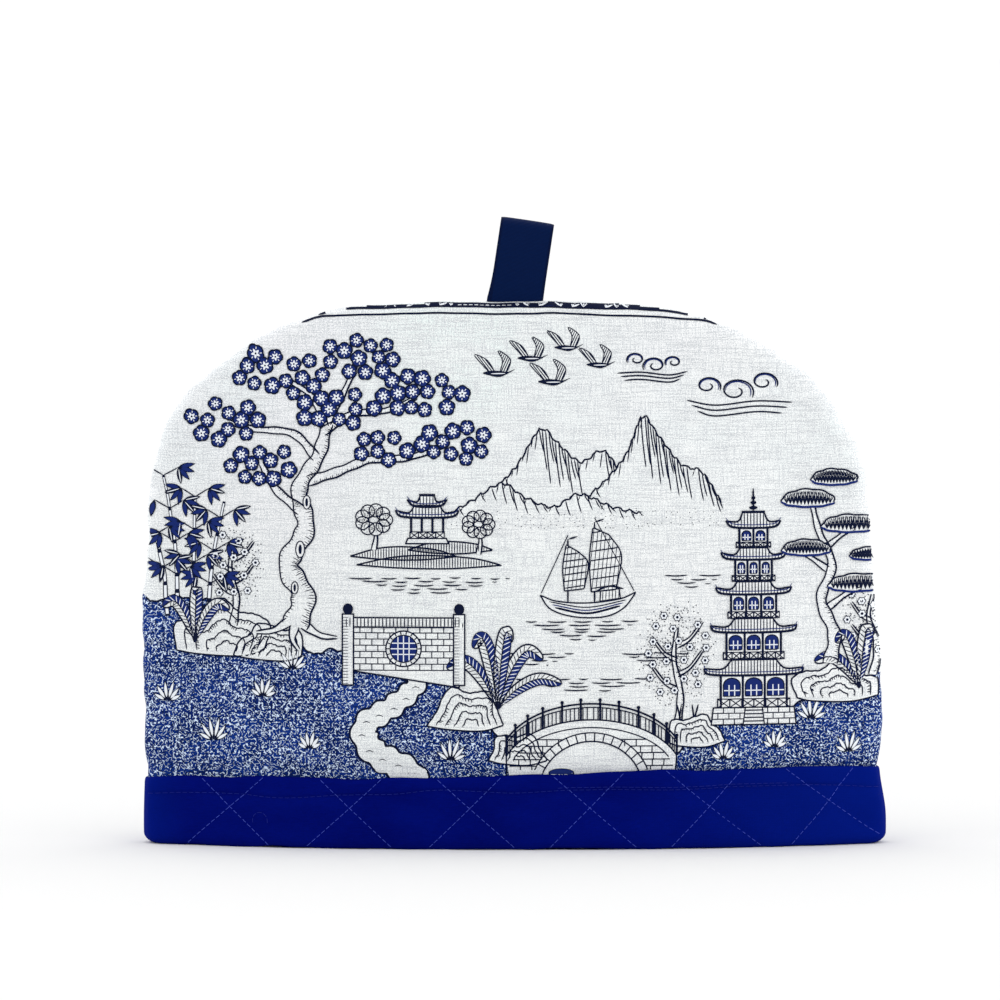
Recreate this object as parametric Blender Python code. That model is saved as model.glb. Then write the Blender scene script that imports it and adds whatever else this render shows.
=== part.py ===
"""A quilted tea cosy with a ribbon loop, standing open on its hem.

Each half is a printed cotton panel over a quilted lining. The lining runs down the inside,
folds under the hem and comes up outside as a band over the panel's lower edge. The halves
meet at the seam plane, and a folded ribbon is caught in the seam at the crown.

X runs along the hem, -Y is the front and Z is up. The origin is the middle of the mouth on
the surface that the cosy stands on. Sizes are millimetres until a mesh is made.
"""

import math

import bmesh
import bpy
import numpy as np

MM = 0.001
CLEARANCE = 0.3  # between one piece and the next
FRONT, BACK = -1, 1

# The panels' finished outline: how far the seam lies from the middle of the hem, by direction.
# (degrees above the hem, reach to the left, reach to the right)
OUTLINE = (
    (12, 178.4, 178.4),
    (20, 185.85, 185.0),
    (30, 202.5, 198.5),
    (40, 226.0, 219.5),
    (45, 242.0, 235.0),
    (50, 256.5, 249.5),
    (55, 264.0, 258.5),
    (60, 266.5, 262.0),
    (70, 267.0, 264.5),
    (80, 259.5, 259.5),
    (90, 256.0, 256.0),
)
SHOULDER = 50  # degrees above the hem at which the side seam turns over the crown

# How the wall stands: a padded edge along the seam, and a belly opened by the mouth.
EDGE_REACH = 8.0  # in from the seam, over which the padded edge rounds off
EDGE_DEPTH = 7.0  # from the seam plane to the wall where the edge ends
BELLY = 38.0  # further forward at the middle of the mouth
BELLY_ACROSS = 2.4  # how square the mouth is, from side to side
BELLY_UP = 1.5  # how upright the wall is, above the band
WAIST = 3.3  # how far the hem's stitching draws the layers in
WAIST_RISE = 12.0  # above the band, until they stand out in full
FLARE = 1.5  # how far the foot spreads at each side seam

# Layers, from the outer face of the lining's inner wall. Outwards is positive.
LINING_THICK = 4.0
PRINT_THICK = 1.2
CUFF_THICK = 3.5
SEAM_PRESS = 1.0  # thinner at the side seams
PRINT_INSIDE = CLEARANCE
PRINT_OUTSIDE = PRINT_INSIDE + PRINT_THICK
CUFF_INSIDE = PRINT_OUTSIDE + CLEARANCE
CUFF_OUTSIDE = CUFF_INSIDE + CUFF_THICK

# The band: the height of its upper edge along the hem, and the line of stitching below that.
# (along the hem, height)
BAND_TOP = (
    (-176, 31.4),
    (-110, 31.6),
    (-60, 30.4),
    (0, 31.2),
    (50, 31.8),
    (90, 33.4),
    (135, 34.6),
    (176, 35.4),
)
TOPSTITCH_DOWN = 8.3
TOPSTITCH_DEPTH = 0.8
PANEL_FOOT = 10.0  # the panel's lower edge, hidden behind the band

# The hem's fold, seen end on: half a round, flattened where it stands.
FOLD_HEIGHT = 4.65
FOLD_STEPS = 6
FLAT_FROM = math.radians(60)
FOLD_DROP = FOLD_HEIGHT / math.sin(FLAT_FROM)
HEM_LIFT = 0.8  # where a quilting line draws the fold up off the surface
LIFT_FROM = 0.25  # the share of a trough at which the lift begins

# Diamond quilting.
QUILT_PITCH = 56.4  # from crossing to crossing along the hem
QUILT_SLOPE = math.radians(43)
QUILT_CROSSING = (-21.4, 16.5)
QUILT_DEPTH = 1.4
QUILT_SPREAD = 4.0

# The ribbon loop, its legs side by side in the seam and its top folded over.
RIBBON_WIDTH = 25.2
RIBBON_THICK = 1.0
RIBBON_FOOT_X = 0.6
RIBBON_LEAN = math.radians(8.5)
RIBBON_RISE = 38.6  # above the crown, along the ribbon
RIBBON_FOLD = 4.2  # radius of its middle line at the top
RIBBON_LEG = 0.75  # each leg's middle line from the seam plane, in the seam
RIBBON_TAIL = 4.4  # below the crown
RIBBON_RUNS = 8
RIBBON_TURNS = 8

# How finely the cloth is divided.
RIM_CELLS = 3
CUFF_COLUMNS = (19, 25)  # to the left and right of the quilting's crossing, eight to a pitch
PANEL_COLUMNS = (sum(CUFF_COLUMNS) + 2) // 2
SIDE_ROWS = 14
FOOT_CROWDING = 1.3  # how much closer the rows stand just above the band
BEND_LENGTH = 60.0  # how much closer the cells stand where the seam bends, as a length for each radian

# Colours as linear red, green and blue, with roughness.
CLOTHS = {
    "printed_cotton": ((0.72, 0.76, 0.79), 0.85),
    "quilted_cotton": ((0.002, 0.007, 0.14), 0.8),
    "navy_ribbon": ((0.004, 0.013, 0.06), 0.6),
}


def eased(share):
    """0 to 1, level at both ends."""
    share = np.clip(share, 0, 1)
    return share * share * (3 - 2 * share)


def smooth_through(rows, at):
    """The second column of rows, as a smooth curve through its points, at these values of the first."""
    table = np.array(sorted(rows), float)
    places, values = table[:, 0], table[:, 1]
    slopes = np.gradient(values, places)
    cell = np.clip(np.searchsorted(places, at) - 1, 0, len(places) - 2)
    width = places[cell + 1] - places[cell]
    share = (at - places[cell]) / width
    start, end = values[cell], values[cell + 1]
    bend = (1 - share) * (slopes[cell] * width - (end - start))
    bend -= share * (slopes[cell + 1] * width - (end - start))
    return start + share * (end - start) + share * (1 - share) * bend


def outline_at(degrees):
    """Points of the lining's outline in the seam plane, at these directions from the right end of the hem."""
    rows = [(angle, right) for angle, _, right in OUTLINE]
    rows += [(180 - angle, left) for angle, left, _ in OUTLINE[:-1]]
    reach = smooth_through(rows, degrees) - PRINT_OUTSIDE
    turn = np.radians(degrees)
    return np.column_stack([reach * np.cos(turn), reach * np.sin(turn)])


FIRST_ANGLE = OUTLINE[0][0]
SEAM_LINE = outline_at(np.linspace(180 - FIRST_ANGLE, FIRST_ANGLE, 1201))
CROWN_HEIGHT = SEAM_LINE[:, 1].max()
HALF_WIDTH = SEAM_LINE[-1, 0]
SIDE_FOOT = SEAM_LINE[-1, 1]  # below this the sides are upright


def spaced(line, cells, crowding=1.0):
    """Points that part a line into cells, shorter where it bends, and towards its start if crowded."""
    step = np.diff(line, axis=0)
    heading = np.unwrap(np.arctan2(step[:, 1], step[:, 0]))
    turn = np.abs(np.diff(heading, prepend=heading[0]))
    along = np.concatenate([[0], np.cumsum(np.linalg.norm(step, axis=1) + BEND_LENGTH * turn)])
    at = along[-1] * np.linspace(0, 1, cells + 1) ** crowding
    return np.column_stack([np.interp(at, along, line[:, axis]) for axis in (0, 1)])


def seam_stations():
    """The seam's points from the left of the band over the crown to the right, and the outward direction at each."""
    degrees = np.degrees(np.arctan2(SEAM_LINE[:, 1], SEAM_LINE[:, 0]))
    left = spaced(SEAM_LINE[degrees >= 180 - SHOULDER], SIDE_ROWS, FOOT_CROWDING)
    over = spaced(SEAM_LINE[(degrees <= 180 - SHOULDER) & (degrees >= SHOULDER)], PANEL_COLUMNS)
    right = spaced(SEAM_LINE[degrees <= SHOULDER][::-1], SIDE_ROWS, FOOT_CROWDING)[::-1]
    stations = np.concatenate([left[:-1], over, right[1:]])
    along = np.gradient(stations, axis=0)
    outward = np.column_stack([-along[:, 1], along[:, 0]])
    outward /= np.linalg.norm(outward, axis=1)[:, None]
    outward[0], outward[-1] = (-1, 0), (1, 0)
    return stations, outward


def belly_at(x, z):
    """How far the wall stands forward of its padded edge."""
    apex = int(SEAM_LINE[:, 1].argmax())
    left, right = SEAM_LINE[: apex + 1], SEAM_LINE[apex:][::-1]
    half = np.where(x < 0, np.interp(z, left[:, 1], -left[:, 0]), np.interp(z, right[:, 1], right[:, 0]))
    across = 1 - np.clip(np.abs(x) / half, 0, 1) ** BELLY_ACROSS
    height = np.interp(x, SEAM_LINE[:, 0], SEAM_LINE[:, 1])
    up = np.clip((z - SIDE_FOOT) / np.maximum(height - SIDE_FOOT, 1), 0, 1)
    return BELLY * across * (1 - up**BELLY_UP)


def quilt_trough(x, z):
    """1 on a line of the diamond quilting, falling away to 0 beside it."""
    along = x - QUILT_CROSSING[0]
    up = (z - QUILT_CROSSING[1]) / math.tan(QUILT_SLOPE)
    nearest = np.inf
    for line in (along + up, along - up):
        off = np.abs((line + QUILT_PITCH / 2) % QUILT_PITCH - QUILT_PITCH / 2)
        nearest = np.minimum(nearest, off * math.sin(QUILT_SLOPE))
    return np.exp(-((nearest / QUILT_SPREAD) ** 2))


def waist_at(z):
    """How far the layers are drawn in at a height."""
    return WAIST * np.clip(1 - (z - SIDE_FOOT) / WAIST_RISE, 0, 1) ** 2


def rim_turns():
    """The padded edge's stations, from the seam to where the wall begins."""
    return np.linspace(0, math.pi / 2, RIM_CELLS + 1)[:-1]


def hem_columns(every):
    """Every first or second column between the padded edges: on the quilting's crossings, and evenly between them."""
    end = HALF_WIDTH - EDGE_REACH
    left, right = CUFF_COLUMNS
    between = QUILT_CROSSING[0] + QUILT_PITCH / 8 * np.arange(-left, right + 1)
    return np.concatenate([[-end], between, [end]])[::every]


def mouth(every):
    """Half of the upright wall round the mouth, from seam to seam: the points, and the outward direction at each."""
    turn = rim_turns()
    rim = HALF_WIDTH - EDGE_REACH * (1 - np.cos(turn))
    middle = hem_columns(every)
    x = np.concatenate([-rim, middle, rim[::-1]])
    edge = EDGE_DEPTH * np.concatenate([np.sin(turn), np.ones(len(middle)), np.sin(turn[::-1])])
    points = np.column_stack([x, -edge - belly_at(x, SIDE_FOOT)])
    along = np.gradient(points, axis=0)
    outward = np.column_stack([along[:, 1], -along[:, 0]])
    outward /= np.linalg.norm(outward, axis=1)[:, None]
    outward[0], outward[-1] = (-1, 0), (1, 0)
    return points, outward


class Cloth:
    """A sheet in the making: its faces, and where each of its points lies on the outer and the inner face."""

    def __init__(self):
        self.outer, self.inner, self.faces = [], [], []

    def add(self, outer, inner):
        """The numbers of new points."""
        first = len(self.outer)
        self.outer.extend(outer)
        self.inner.extend(inner)
        return list(range(first, first + len(outer)))

    def ladder(self, low, high):
        """Joins two rows of points. Where one has twice the middle columns of the other, three triangles join each pair."""
        if len(low) == len(high):
            for i in range(len(low) - 1):
                self.faces.append((low[i], low[i + 1], high[i + 1], high[i]))
            return
        fine, wide = (low, high) if len(low) > len(high) else (high, low)
        first, last = RIM_CELLS, len(wide) - 1 - RIM_CELLS
        self.ladder(fine[: first + 1], wide[: first + 1])
        for i in range(first, last):
            j = 2 * i - RIM_CELLS
            self.faces.append((fine[j], fine[j + 1], wide[i]))
            self.faces.append((fine[j + 1], wide[i + 1], wide[i]))
            self.faces.append((fine[j + 1], fine[j + 2], wide[i + 1]))
        self.ladder(fine[-RIM_CELLS - 1 :], wide[-RIM_CELLS - 1 :])

    def solid(self, name, side, material):
        """The closed solid between the outer and the inner face, for one half of the cosy."""
        count = len(self.outer)
        uses = {}
        for face in self.faces:
            for a, b in zip(face, face[1:] + face[:1]):
                uses.setdefault(frozenset((a, b)), []).append((a, b))
        border = [found[0] for found in uses.values() if len(found) == 1]
        faces = self.faces + [tuple(count + i for i in reversed(face)) for face in self.faces]
        faces += [(b, a, count + a, count + b) for a, b in border]
        points = np.array(self.outer + self.inner)
        spread = np.clip(1 - points[:, 2] / SIDE_FOOT, 0, 1) * (points[:, 0] / HALF_WIDTH) ** 5
        points[:, 0] += FLARE * spread
        points[:, 1] = -side * (points[:, 1] - CLEARANCE / 2)
        return made_object(name, points, faces, material)


def made_object(name, points, faces, material):
    """An object from points in millimetres, its faces turned outwards."""
    mesh = bpy.data.meshes.new(name)
    work = bmesh.new()
    corners = [work.verts.new(point * MM) for point in np.asarray(points, float)]
    for face in faces:
        work.faces.new([corners[i] for i in face])
    bmesh.ops.recalc_face_normals(work, faces=work.faces)
    work.to_mesh(mesh)
    work.free()
    mesh.shade_smooth()
    mesh.set_sharp_from_angle(angle=math.radians(50))
    mesh.materials.append(material)
    made = bpy.data.objects.new(name, mesh)
    bpy.context.scene.collection.objects.link(made)
    return made


def level_row(cloth, round_mouth, height, outer, inner, rise=0.0):
    """A row round the mouth at one height, or one for each column. The inner face may lie higher by rise."""
    points, outward = round_mouth
    rows = []
    for offset, up in ((outer, 0.0), (inner, rise)):
        away = np.broadcast_to(offset - WAIST, len(points))[:, None]
        rows.append(np.column_stack([points + outward * away, np.broadcast_to(height, len(points)) + up]))
    return cloth.add(*rows)


def upper_wall(cloth, foot_row, outer, inner):
    """The wall above the band, up to the seam, joined to the row at its foot."""
    stations, outward = seam_stations()
    inset = stations - outward * EDGE_REACH
    last = len(stations) - 1
    columns, rows = PANEL_COLUMNS, SIDE_ROWS
    left, top, right = inset[: rows + 1], inset[rows : rows + columns + 1], inset[rows + columns :][::-1]
    foot = np.column_stack([hem_columns(2), np.full(columns + 1, SIDE_FOOT)])

    def middle(i, j):
        """A point of the wall inside its padded edge, spread evenly between the four sides."""
        across, up = i / columns, j / rows
        sides = (1 - across) * left[j] + across * right[j] + (1 - up) * foot[i] + up * top[i]
        corners = (1 - across) * ((1 - up) * left[0] + up * left[-1])
        return sides - corners - across * ((1 - up) * right[0] + up * right[-1])

    flat, edge, seam, placed = [], [], [], {}
    for j in range(1, rows + 1):
        for i in range(columns + 1):
            placed["middle", i, j] = len(flat)
            flat.append(middle(i, j))
            edge.append(EDGE_DEPTH)
    for k in range(1, last):
        for r, turn in enumerate(rim_turns()):
            placed["rim", k, r] = len(flat)
            flat.append(stations[k] - outward[k] * EDGE_REACH * (1 - math.cos(turn)))
            edge.append(EDGE_DEPTH * math.sin(turn))
        seam.append(placed["rim", k, 0])

    first = len(cloth.outer)
    for i in range(columns + 1):
        placed["middle", i, 0] = foot_row[RIM_CELLS + i] - first
    for r in range(RIM_CELLS):
        placed["rim", 0, r] = foot_row[r] - first
        placed["rim", last, r] = foot_row[-1 - r] - first

    def inner_end(k):
        """Where the padded edge meets the middle of the wall."""
        if k <= rows:
            return placed["middle", 0, k]
        if k <= rows + columns:
            return placed["middle", k - rows, rows]
        return placed["middle", columns, last - k]

    faces = []
    for j in range(rows):
        for i in range(columns):
            ring = [(i, j), (i + 1, j), (i + 1, j + 1), (i, j + 1)]
            faces.append(tuple(placed["middle", a, b] for a, b in ring))
    for k in range(last):
        for r in range(RIM_CELLS):
            near = [placed["rim", k, r], placed["rim", k + 1, r]]
            far = [placed["rim", a, r + 1] if r + 1 < RIM_CELLS else inner_end(a) for a in (k + 1, k)]
            faces.append(tuple((near + far)[::-1]))

    flat = np.array(flat)
    base = np.column_stack([flat[:, 0], -np.array(edge) - belly_at(flat[:, 0], flat[:, 1]), flat[:, 1]])
    away = wall_directions(base, faces)
    away[seam] = np.insert(outward[1:last], 1, 0, axis=1)
    caught = np.zeros(len(flat), bool)
    caught[seam] = True
    offsets = [face(*flat.T, caught) - waist_at(flat[:, 1]) for face in (outer, inner)]
    cloth.add(*[base + away * offset[:, None] for offset in offsets])
    cloth.faces += [tuple(first + number for number in face) for face in faces]


def wall_directions(base, faces):
    """The outward direction at each point, from the faces round it. Numbers below 0 are the foot row's points."""
    points, _ = mouth(2)
    foot = np.column_stack([points, np.full(len(points), SIDE_FOOT)])
    numbers = np.array(faces)
    numbers = np.where(numbers < 0, numbers - numbers.min() + len(base), numbers)
    everything = np.concatenate([base, foot])
    corner = everything[numbers]
    normal = np.cross(corner[:, 2] - corner[:, 0], corner[:, 3] - corner[:, 1])
    total = np.zeros_like(everything)
    for column in range(4):
        np.add.at(total, numbers[:, column], normal)
    total = total[: len(base)]
    return total / np.linalg.norm(total, axis=1)[:, None]


def layer(offset):
    """A layer's face at one offset, as a function of where the wall's points lie."""
    return lambda x, z, caught: np.full(len(x), offset)


def quilted_layer(x, z, caught):
    """The lining's inner face, drawn in along the quilting but not where it is caught in the seam."""
    return -LINING_THICK + QUILT_DEPTH * quilt_trough(x, z) * ~caught


def printed_panel(name, side, material):
    """One printed panel, from behind the band up to the seam."""
    cloth = Cloth()
    round_mouth = mouth(2)
    rows = [
        level_row(cloth, round_mouth, height, PRINT_OUTSIDE, PRINT_INSIDE)
        for height in (PANEL_FOOT, (PANEL_FOOT + SIDE_FOOT) / 2, SIDE_FOOT)
    ]
    for low, high in zip(rows, rows[1:]):
        cloth.ladder(low, high)
    upper_wall(cloth, rows[-1], layer(PRINT_OUTSIDE), layer(PRINT_INSIDE))
    return cloth.solid(name, side, material)


def off_seam(x):
    """0 in the side seams, rising to 1 beside them."""
    return eased((HALF_WIDTH - np.abs(x)) / EDGE_REACH * 2)


def band_face(x, height, extra=0.0):
    """The band's outer face, puffed between the quilting lines and pressed flat at the side seams."""
    free = off_seam(x)
    return CUFF_OUTSIDE - SEAM_PRESS * (1 - free) + free * (extra - QUILT_DEPTH * quilt_trough(x, height))


def hem_lift(x):
    """How far the fold stands off the surface: only where a quilting line crosses it."""
    return HEM_LIFT * np.clip((quilt_trough(x, 0) - LIFT_FROM) / (1 - LIFT_FROM), 0, 1) * off_seam(x)


def quilted_lining(name, side, material):
    """One lining: the band outside, the fold under the hem and the wall inside, up to the seam."""
    cloth = Cloth()
    fine, wide = mouth(1), mouth(2)
    x = fine[0][:, 0]
    top = smooth_through(BAND_TOP, x)
    crossing = QUILT_CROSSING[1]
    half_cell = QUILT_PITCH / 8 * math.tan(QUILT_SLOPE)
    # Down the outside of the band: (height, outer face)
    band = (
        (top, band_face(x, top) - 0.4 * CUFF_THICK),
        (top - 1.3, band_face(x, top) - 0.1 * CUFF_THICK),
        (top - 4.4, band_face(x, top - 4.4, 0.2)),
        (top - TOPSTITCH_DOWN, band_face(x, top - TOPSTITCH_DOWN, -TOPSTITCH_DEPTH)),
        (crossing, band_face(x, crossing)),
        (crossing - half_cell, band_face(x, crossing - half_cell)),
        (FOLD_HEIGHT, band_face(x, FOLD_HEIGHT)),
    )
    rows = [level_row(cloth, fine, height, face, CUFF_INSIDE) for height, face in band]

    for step in range(1, FOLD_STEPS):
        turn = math.pi * step / FOLD_STEPS
        columns = fine if 2 * step <= FOLD_STEPS else wide
        across = columns[0][:, 0]
        face = band_face(across, FOLD_HEIGHT)
        middle, radius = (face - LINING_THICK) / 2, (face + LINING_THICK) / 2
        height = np.maximum(hem_lift(across), FOLD_HEIGHT - FOLD_DROP * math.sin(turn))
        inner_height = FOLD_HEIGHT - CUFF_INSIDE / 2 * math.sin(turn)
        outer = middle + radius * math.cos(turn)
        inner = CUFF_INSIDE / 2 * (1 + math.cos(turn))
        rows.append(level_row(cloth, columns, height, outer, inner, rise=inner_height - height))

    for height in (FOLD_HEIGHT, crossing, crossing + 2 * half_cell, SIDE_FOOT):
        rows.append(level_row(cloth, wide, height, -LINING_THICK, 0.0))
    for above, below in zip(rows, rows[1:]):
        cloth.ladder(below, above)
    upper_wall(cloth, rows[-1], quilted_layer, layer(0.0))
    return cloth.solid(name, side, material)


def ribbon_middle_line():
    """The ribbon's middle line, seen end on, from the front tail over the fold to the back tail: (from the seam plane, along the ribbon)."""
    straight = RIBBON_RISE - RIBBON_THICK / 2 - RIBBON_FOLD
    up = np.linspace(0, straight, RIBBON_RUNS + 1)
    leg = RIBBON_LEG + (RIBBON_FOLD - RIBBON_LEG) * eased(up / straight)
    turn = np.linspace(0, math.pi, RIBBON_TURNS + 1)[1:-1]
    front = np.column_stack([-leg, up])
    over = np.column_stack([-RIBBON_FOLD * np.cos(turn), straight + RIBBON_FOLD * np.sin(turn)])
    back = front[::-1] * (-1, 1)
    tails = np.array([[-RIBBON_LEG, -RIBBON_TAIL]]), np.array([[RIBBON_LEG, -RIBBON_TAIL]])
    return np.concatenate([tails[0], front, over, back, tails[1]])


def ribbon_loop(name, material):
    """The ribbon, leaning, its tails cut level inside the seam."""
    line = ribbon_middle_line()
    along = np.gradient(line, axis=0)
    along /= np.linalg.norm(along, axis=1)[:, None]
    away = np.column_stack([-along[:, 1], along[:, 0]]) * RIBBON_THICK / 2
    crown = CROWN_HEIGHT + PRINT_OUTSIDE
    points = []
    for face in (line + away, line - away):
        for edge in (-RIBBON_WIDTH / 2, RIBBON_WIDTH / 2):
            up = face[:, 1].copy()
            up[[0, -1]] = (edge * math.sin(RIBBON_LEAN) - RIBBON_TAIL) / math.cos(RIBBON_LEAN)
            x = RIBBON_FOOT_X + edge * math.cos(RIBBON_LEAN) + up * math.sin(RIBBON_LEAN)
            z = crown - edge * math.sin(RIBBON_LEAN) + up * math.cos(RIBBON_LEAN)
            points.extend(np.column_stack([x, face[:, 0], z]))
    count = len(line)
    outer_left, outer_right, inner_left, inner_right = (count * n for n in range(4))
    faces = []
    for i in range(count - 1):
        for a, b in (
            (outer_left, outer_right),
            (outer_right, inner_right),
            (inner_right, inner_left),
            (inner_left, outer_left),
        ):
            faces.append((a + i, a + i + 1, b + i + 1, b + i))
    for end in (0, count - 1):
        faces.append((outer_left + end, outer_right + end, inner_right + end, inner_left + end))
    return made_object(name, points, faces, material)


def seam_pocket():
    """A cutter for the room that the ribbon's tails take in the crown seam."""
    crown = CROWN_HEIGHT + PRINT_OUTSIDE
    half = RIBBON_WIDTH / 2 / math.cos(RIBBON_LEAN) + RIBBON_TAIL * math.tan(RIBBON_LEAN) / 2 + CLEARANCE
    middle = RIBBON_FOOT_X - RIBBON_TAIL * math.tan(RIBBON_LEAN) / 2
    depth = RIBBON_LEG + RIBBON_THICK / 2 + CLEARANCE
    low, high = crown - RIBBON_TAIL - CLEARANCE, crown + 2 * RIBBON_TAIL
    corners = [
        (middle + sx * half, sy * depth, z) for z in (low, high) for sx, sy in ((-1, -1), (1, -1), (1, 1), (-1, 1))
    ]
    faces = [(3, 2, 1, 0), (4, 5, 6, 7)] + [(i, (i + 1) % 4, 4 + (i + 1) % 4, 4 + i) for i in range(4)]
    cutter = made_object("seam_pocket_cutter", corners, faces, cloth_material("cutter", (1, 1, 1), 1))
    cutter.hide_render = True
    cutter.display_type = "WIRE"
    return cutter


def cloth_material(name, colour, roughness):
    material = bpy.data.materials.new(name)
    material.use_nodes = True
    shader = material.node_tree.nodes["Principled BSDF"]
    shader.inputs["Base Color"].default_value = (*colour, 1)
    shader.inputs["Roughness"].default_value = roughness
    shader.inputs["Metallic"].default_value = 0
    return material


def main():
    for old in list(bpy.data.objects):
        bpy.data.objects.remove(old)
    materials = {name: cloth_material(name, *look) for name, look in CLOTHS.items()}
    pocket = seam_pocket()
    for half, side in (("front", FRONT), ("back", BACK)):
        pieces = (
            printed_panel(f"panel_{half}", side, materials["printed_cotton"]),
            quilted_lining(f"lining_{half}", side, materials["quilted_cotton"]),
        )
        for piece in pieces:
            cut = piece.modifiers.new("ribbon_room", "BOOLEAN")
            cut.operation = "DIFFERENCE"
            cut.solver = "EXACT"
            cut.object = pocket
    ribbon_loop("ribbon_loop", materials["navy_ribbon"])


main()
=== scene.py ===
"""The looks of a quilted tea cosy: printed cotton over a quilted lining, with a ribbon loop.

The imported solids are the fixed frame, and each is replaced by a finer piece of its own form.
Lengths are millimetres in the row frame until a mesh is made: X along the hem, -Y the front,
Z up from the surface that the cosy stands on.
"""

import math

import bmesh
import bpy
import numpy as np
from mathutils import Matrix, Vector
from mathutils.geometry import delaunay_2d_cdt


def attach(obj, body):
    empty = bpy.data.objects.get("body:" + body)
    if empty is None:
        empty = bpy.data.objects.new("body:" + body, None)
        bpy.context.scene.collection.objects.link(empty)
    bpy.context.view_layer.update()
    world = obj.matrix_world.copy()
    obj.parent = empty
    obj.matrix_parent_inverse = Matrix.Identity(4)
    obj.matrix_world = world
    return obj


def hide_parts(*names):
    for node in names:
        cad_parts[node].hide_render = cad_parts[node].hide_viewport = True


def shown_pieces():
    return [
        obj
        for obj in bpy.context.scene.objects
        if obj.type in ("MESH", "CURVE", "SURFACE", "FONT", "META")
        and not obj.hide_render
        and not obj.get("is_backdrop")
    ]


MM = 0.001
FRONT, BACK = -1, 1

# ---------------------------------------------------------------- the cosy's own sizes

# The panels' finished outline: how far the seam lies from the middle of the hem, by direction.
# (degrees above the hem, reach to the left, reach to the right)
OUTLINE = (
    (12, 178.4, 178.4), (20, 185.85, 185.0), (30, 202.5, 198.5), (40, 226.0, 219.5), (45, 242.0, 235.0),
    (50, 256.5, 249.5), (55, 264.0, 258.5), (60, 266.5, 262.0), (70, 267.0, 264.5), (80, 259.5, 259.5),
    (90, 256.0, 256.0),
)
SHOULDER = 50  # degrees above the hem at which the side seam turns over the crown
SEAM_POINTS = 1201

EDGE_REACH = 8.0  # in from the seam, over which the padded edge rounds off
EDGE_DEPTH = 7.0  # from the seam plane to the wall where the edge ends
SEAM_DEPTH = 1.5  # of that, where the edge turns in to the seam
EDGE_ROUND = EDGE_DEPTH - SEAM_DEPTH
BELLY, BELLY_ACROSS, BELLY_UP = 38.0, 2.4, 1.5  # how far the wall bellies out, and its powers
WAIST, WAIST_RISE = 3.3, 12.0  # how far the layers are drawn in, and over what height
# How far each side's edge stands out from the plain outline: (height, at the left, at the right)
SIDE_SWAY = ((0, 0.8, 1.1), (14, 0.8, 1.1), (36, 0.2, -1.8), (62, 0, 0), (90, 0, 0))
CORNER_UP, CORNER_ACROSS = 5.4, 3.8  # how far the lower corners are cut away
# Waves along the seam, in the cloth beside it and in its own line: (height, rate, start)
PUCKERS = ((0.3, 0.165, 0), (0.21, 0.101, 1.3), (0.15, 0.27, 4))
STRAYS = ((0.45, 0.083, 0.6), (0.3, 0.205, 2), (0.3, 0.047, 4))
PADDING_WAVES = 0.35

# Layers, from the lining's outer face outwards.
LINING_THICK = 4.0
PRINT_INSIDE, PRINT_OUTSIDE = 0.3, 1.5
CUFF_INSIDE, CUFF_THICK = 1.8, 3.5
CUFF_OUTSIDE = CUFF_INSIDE + CUFF_THICK
SEAM_PRESS = 2.3

# (along the hem, height of the band's upper edge)
BAND_TOP = (
    (-176, 30.0), (-171, 31.4), (-162, 32.2), (-130, 33.0), (-100, 33.5), (-80, 33.1), (-45, 33.6), (-10, 34.8),
    (16, 35.3), (48, 36.7), (75, 37.2), (105, 37.0), (135, 37.5), (153, 37.8), (164, 36.9), (176, 35.4),
)
BAND_WAVES = ((0.25, 1 / 9.3, 1), (0.2, 1 / 5.1, 0))
# (along the hem, height of the stitching that holds the band's upper edge)
TOPSTITCH = (
    (-176, 23.6), (-148, 25.0), (-129, 24.8), (-115, 23.8), (-87, 25.1), (-54, 26.3), (-40, 27.9), (-21, 27.9),
    (0, 26.9), (28, 28.2), (87, 28.2), (120, 29.2), (134, 29.2), (158, 28.1), (176, 26.6),
)
# (along the hem, how far the fold stands off the surface)
HEM_LIFTS = (
    (-176, 0), (-166, 0), (-151, 0.3), (-136, 0.1), (-123, 0.1), (-114, 0.8), (-98, 0.2), (-77, 0.3),
    (-55, 0.1), (-38, 0), (-14, 0.5), (4, 0.1), (18, 0.7), (31, 0.9), (42, 0.7), (59, 0), (72, 0.2),
    (92, 0.5), (114, 0), (128, 0.2), (145, 0.3), (164, 0), (176, 0),
)
PANEL_FOOT = 10.0
FOLD_HEIGHT = 4.65
FOLD_STEPS = 14
FOLD_DROP = FOLD_HEIGHT / math.sin(math.radians(60))  # the fold lies flat over its middle third

QUILT_PITCH = 56.3
QUILT_SLOPE = math.radians(43)
QUILT_CROSSING = -21.1
# (along the hem, height of the quilting's crossings, how far it leans over to the left)
QUILT_SWAY = (
    (-176, 18.8, -0.07), (-134, 18.9, -0.06), (-78, 19.2, -0.03), (-21, 19.4, 0.057), (35, 19.8, 0.076),
    (91, 19.9, 0.14), (148, 21.5, 0.2), (176, 21.8, 0.22),
)
QUILT_DEPTH, QUILT_SPREAD = 1.4, 4.0

RIBBON_WIDTH, RIBBON_THICK = 25.2, 1.0
RIBBON_FOOT_X = 0.6
RIBBON_LEAN = math.radians(8.5)
LEAN_ACROSS, LEAN_UP = math.sin(RIBBON_LEAN), math.cos(RIBBON_LEAN)
RIBBON_RISE = 38.6
RIBBON_FOLD = 4.2  # the radius at which it folds over
RIBBON_LEG = 0.75  # from the seam plane to each leg's middle line at the foot
RIBBON_TAIL = 4.2

# How finely the cloth is divided.
RIM_CELLS = 8
WALL_COLUMNS, WALL_ROWS = 128, 72
QUILT_CELLS = 24  # to one diamond
INSIDE_ROWS = 30
FOOT_CROWDING = 1.2
BEND_LENGTH = 40.0


# ---------------------------------------------------------------- curves and the wall's form


def eased(share):
    """0 to 1, level at both ends."""
    share = np.clip(share, 0, 1)
    return share * share * (3 - 2 * share)


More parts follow.
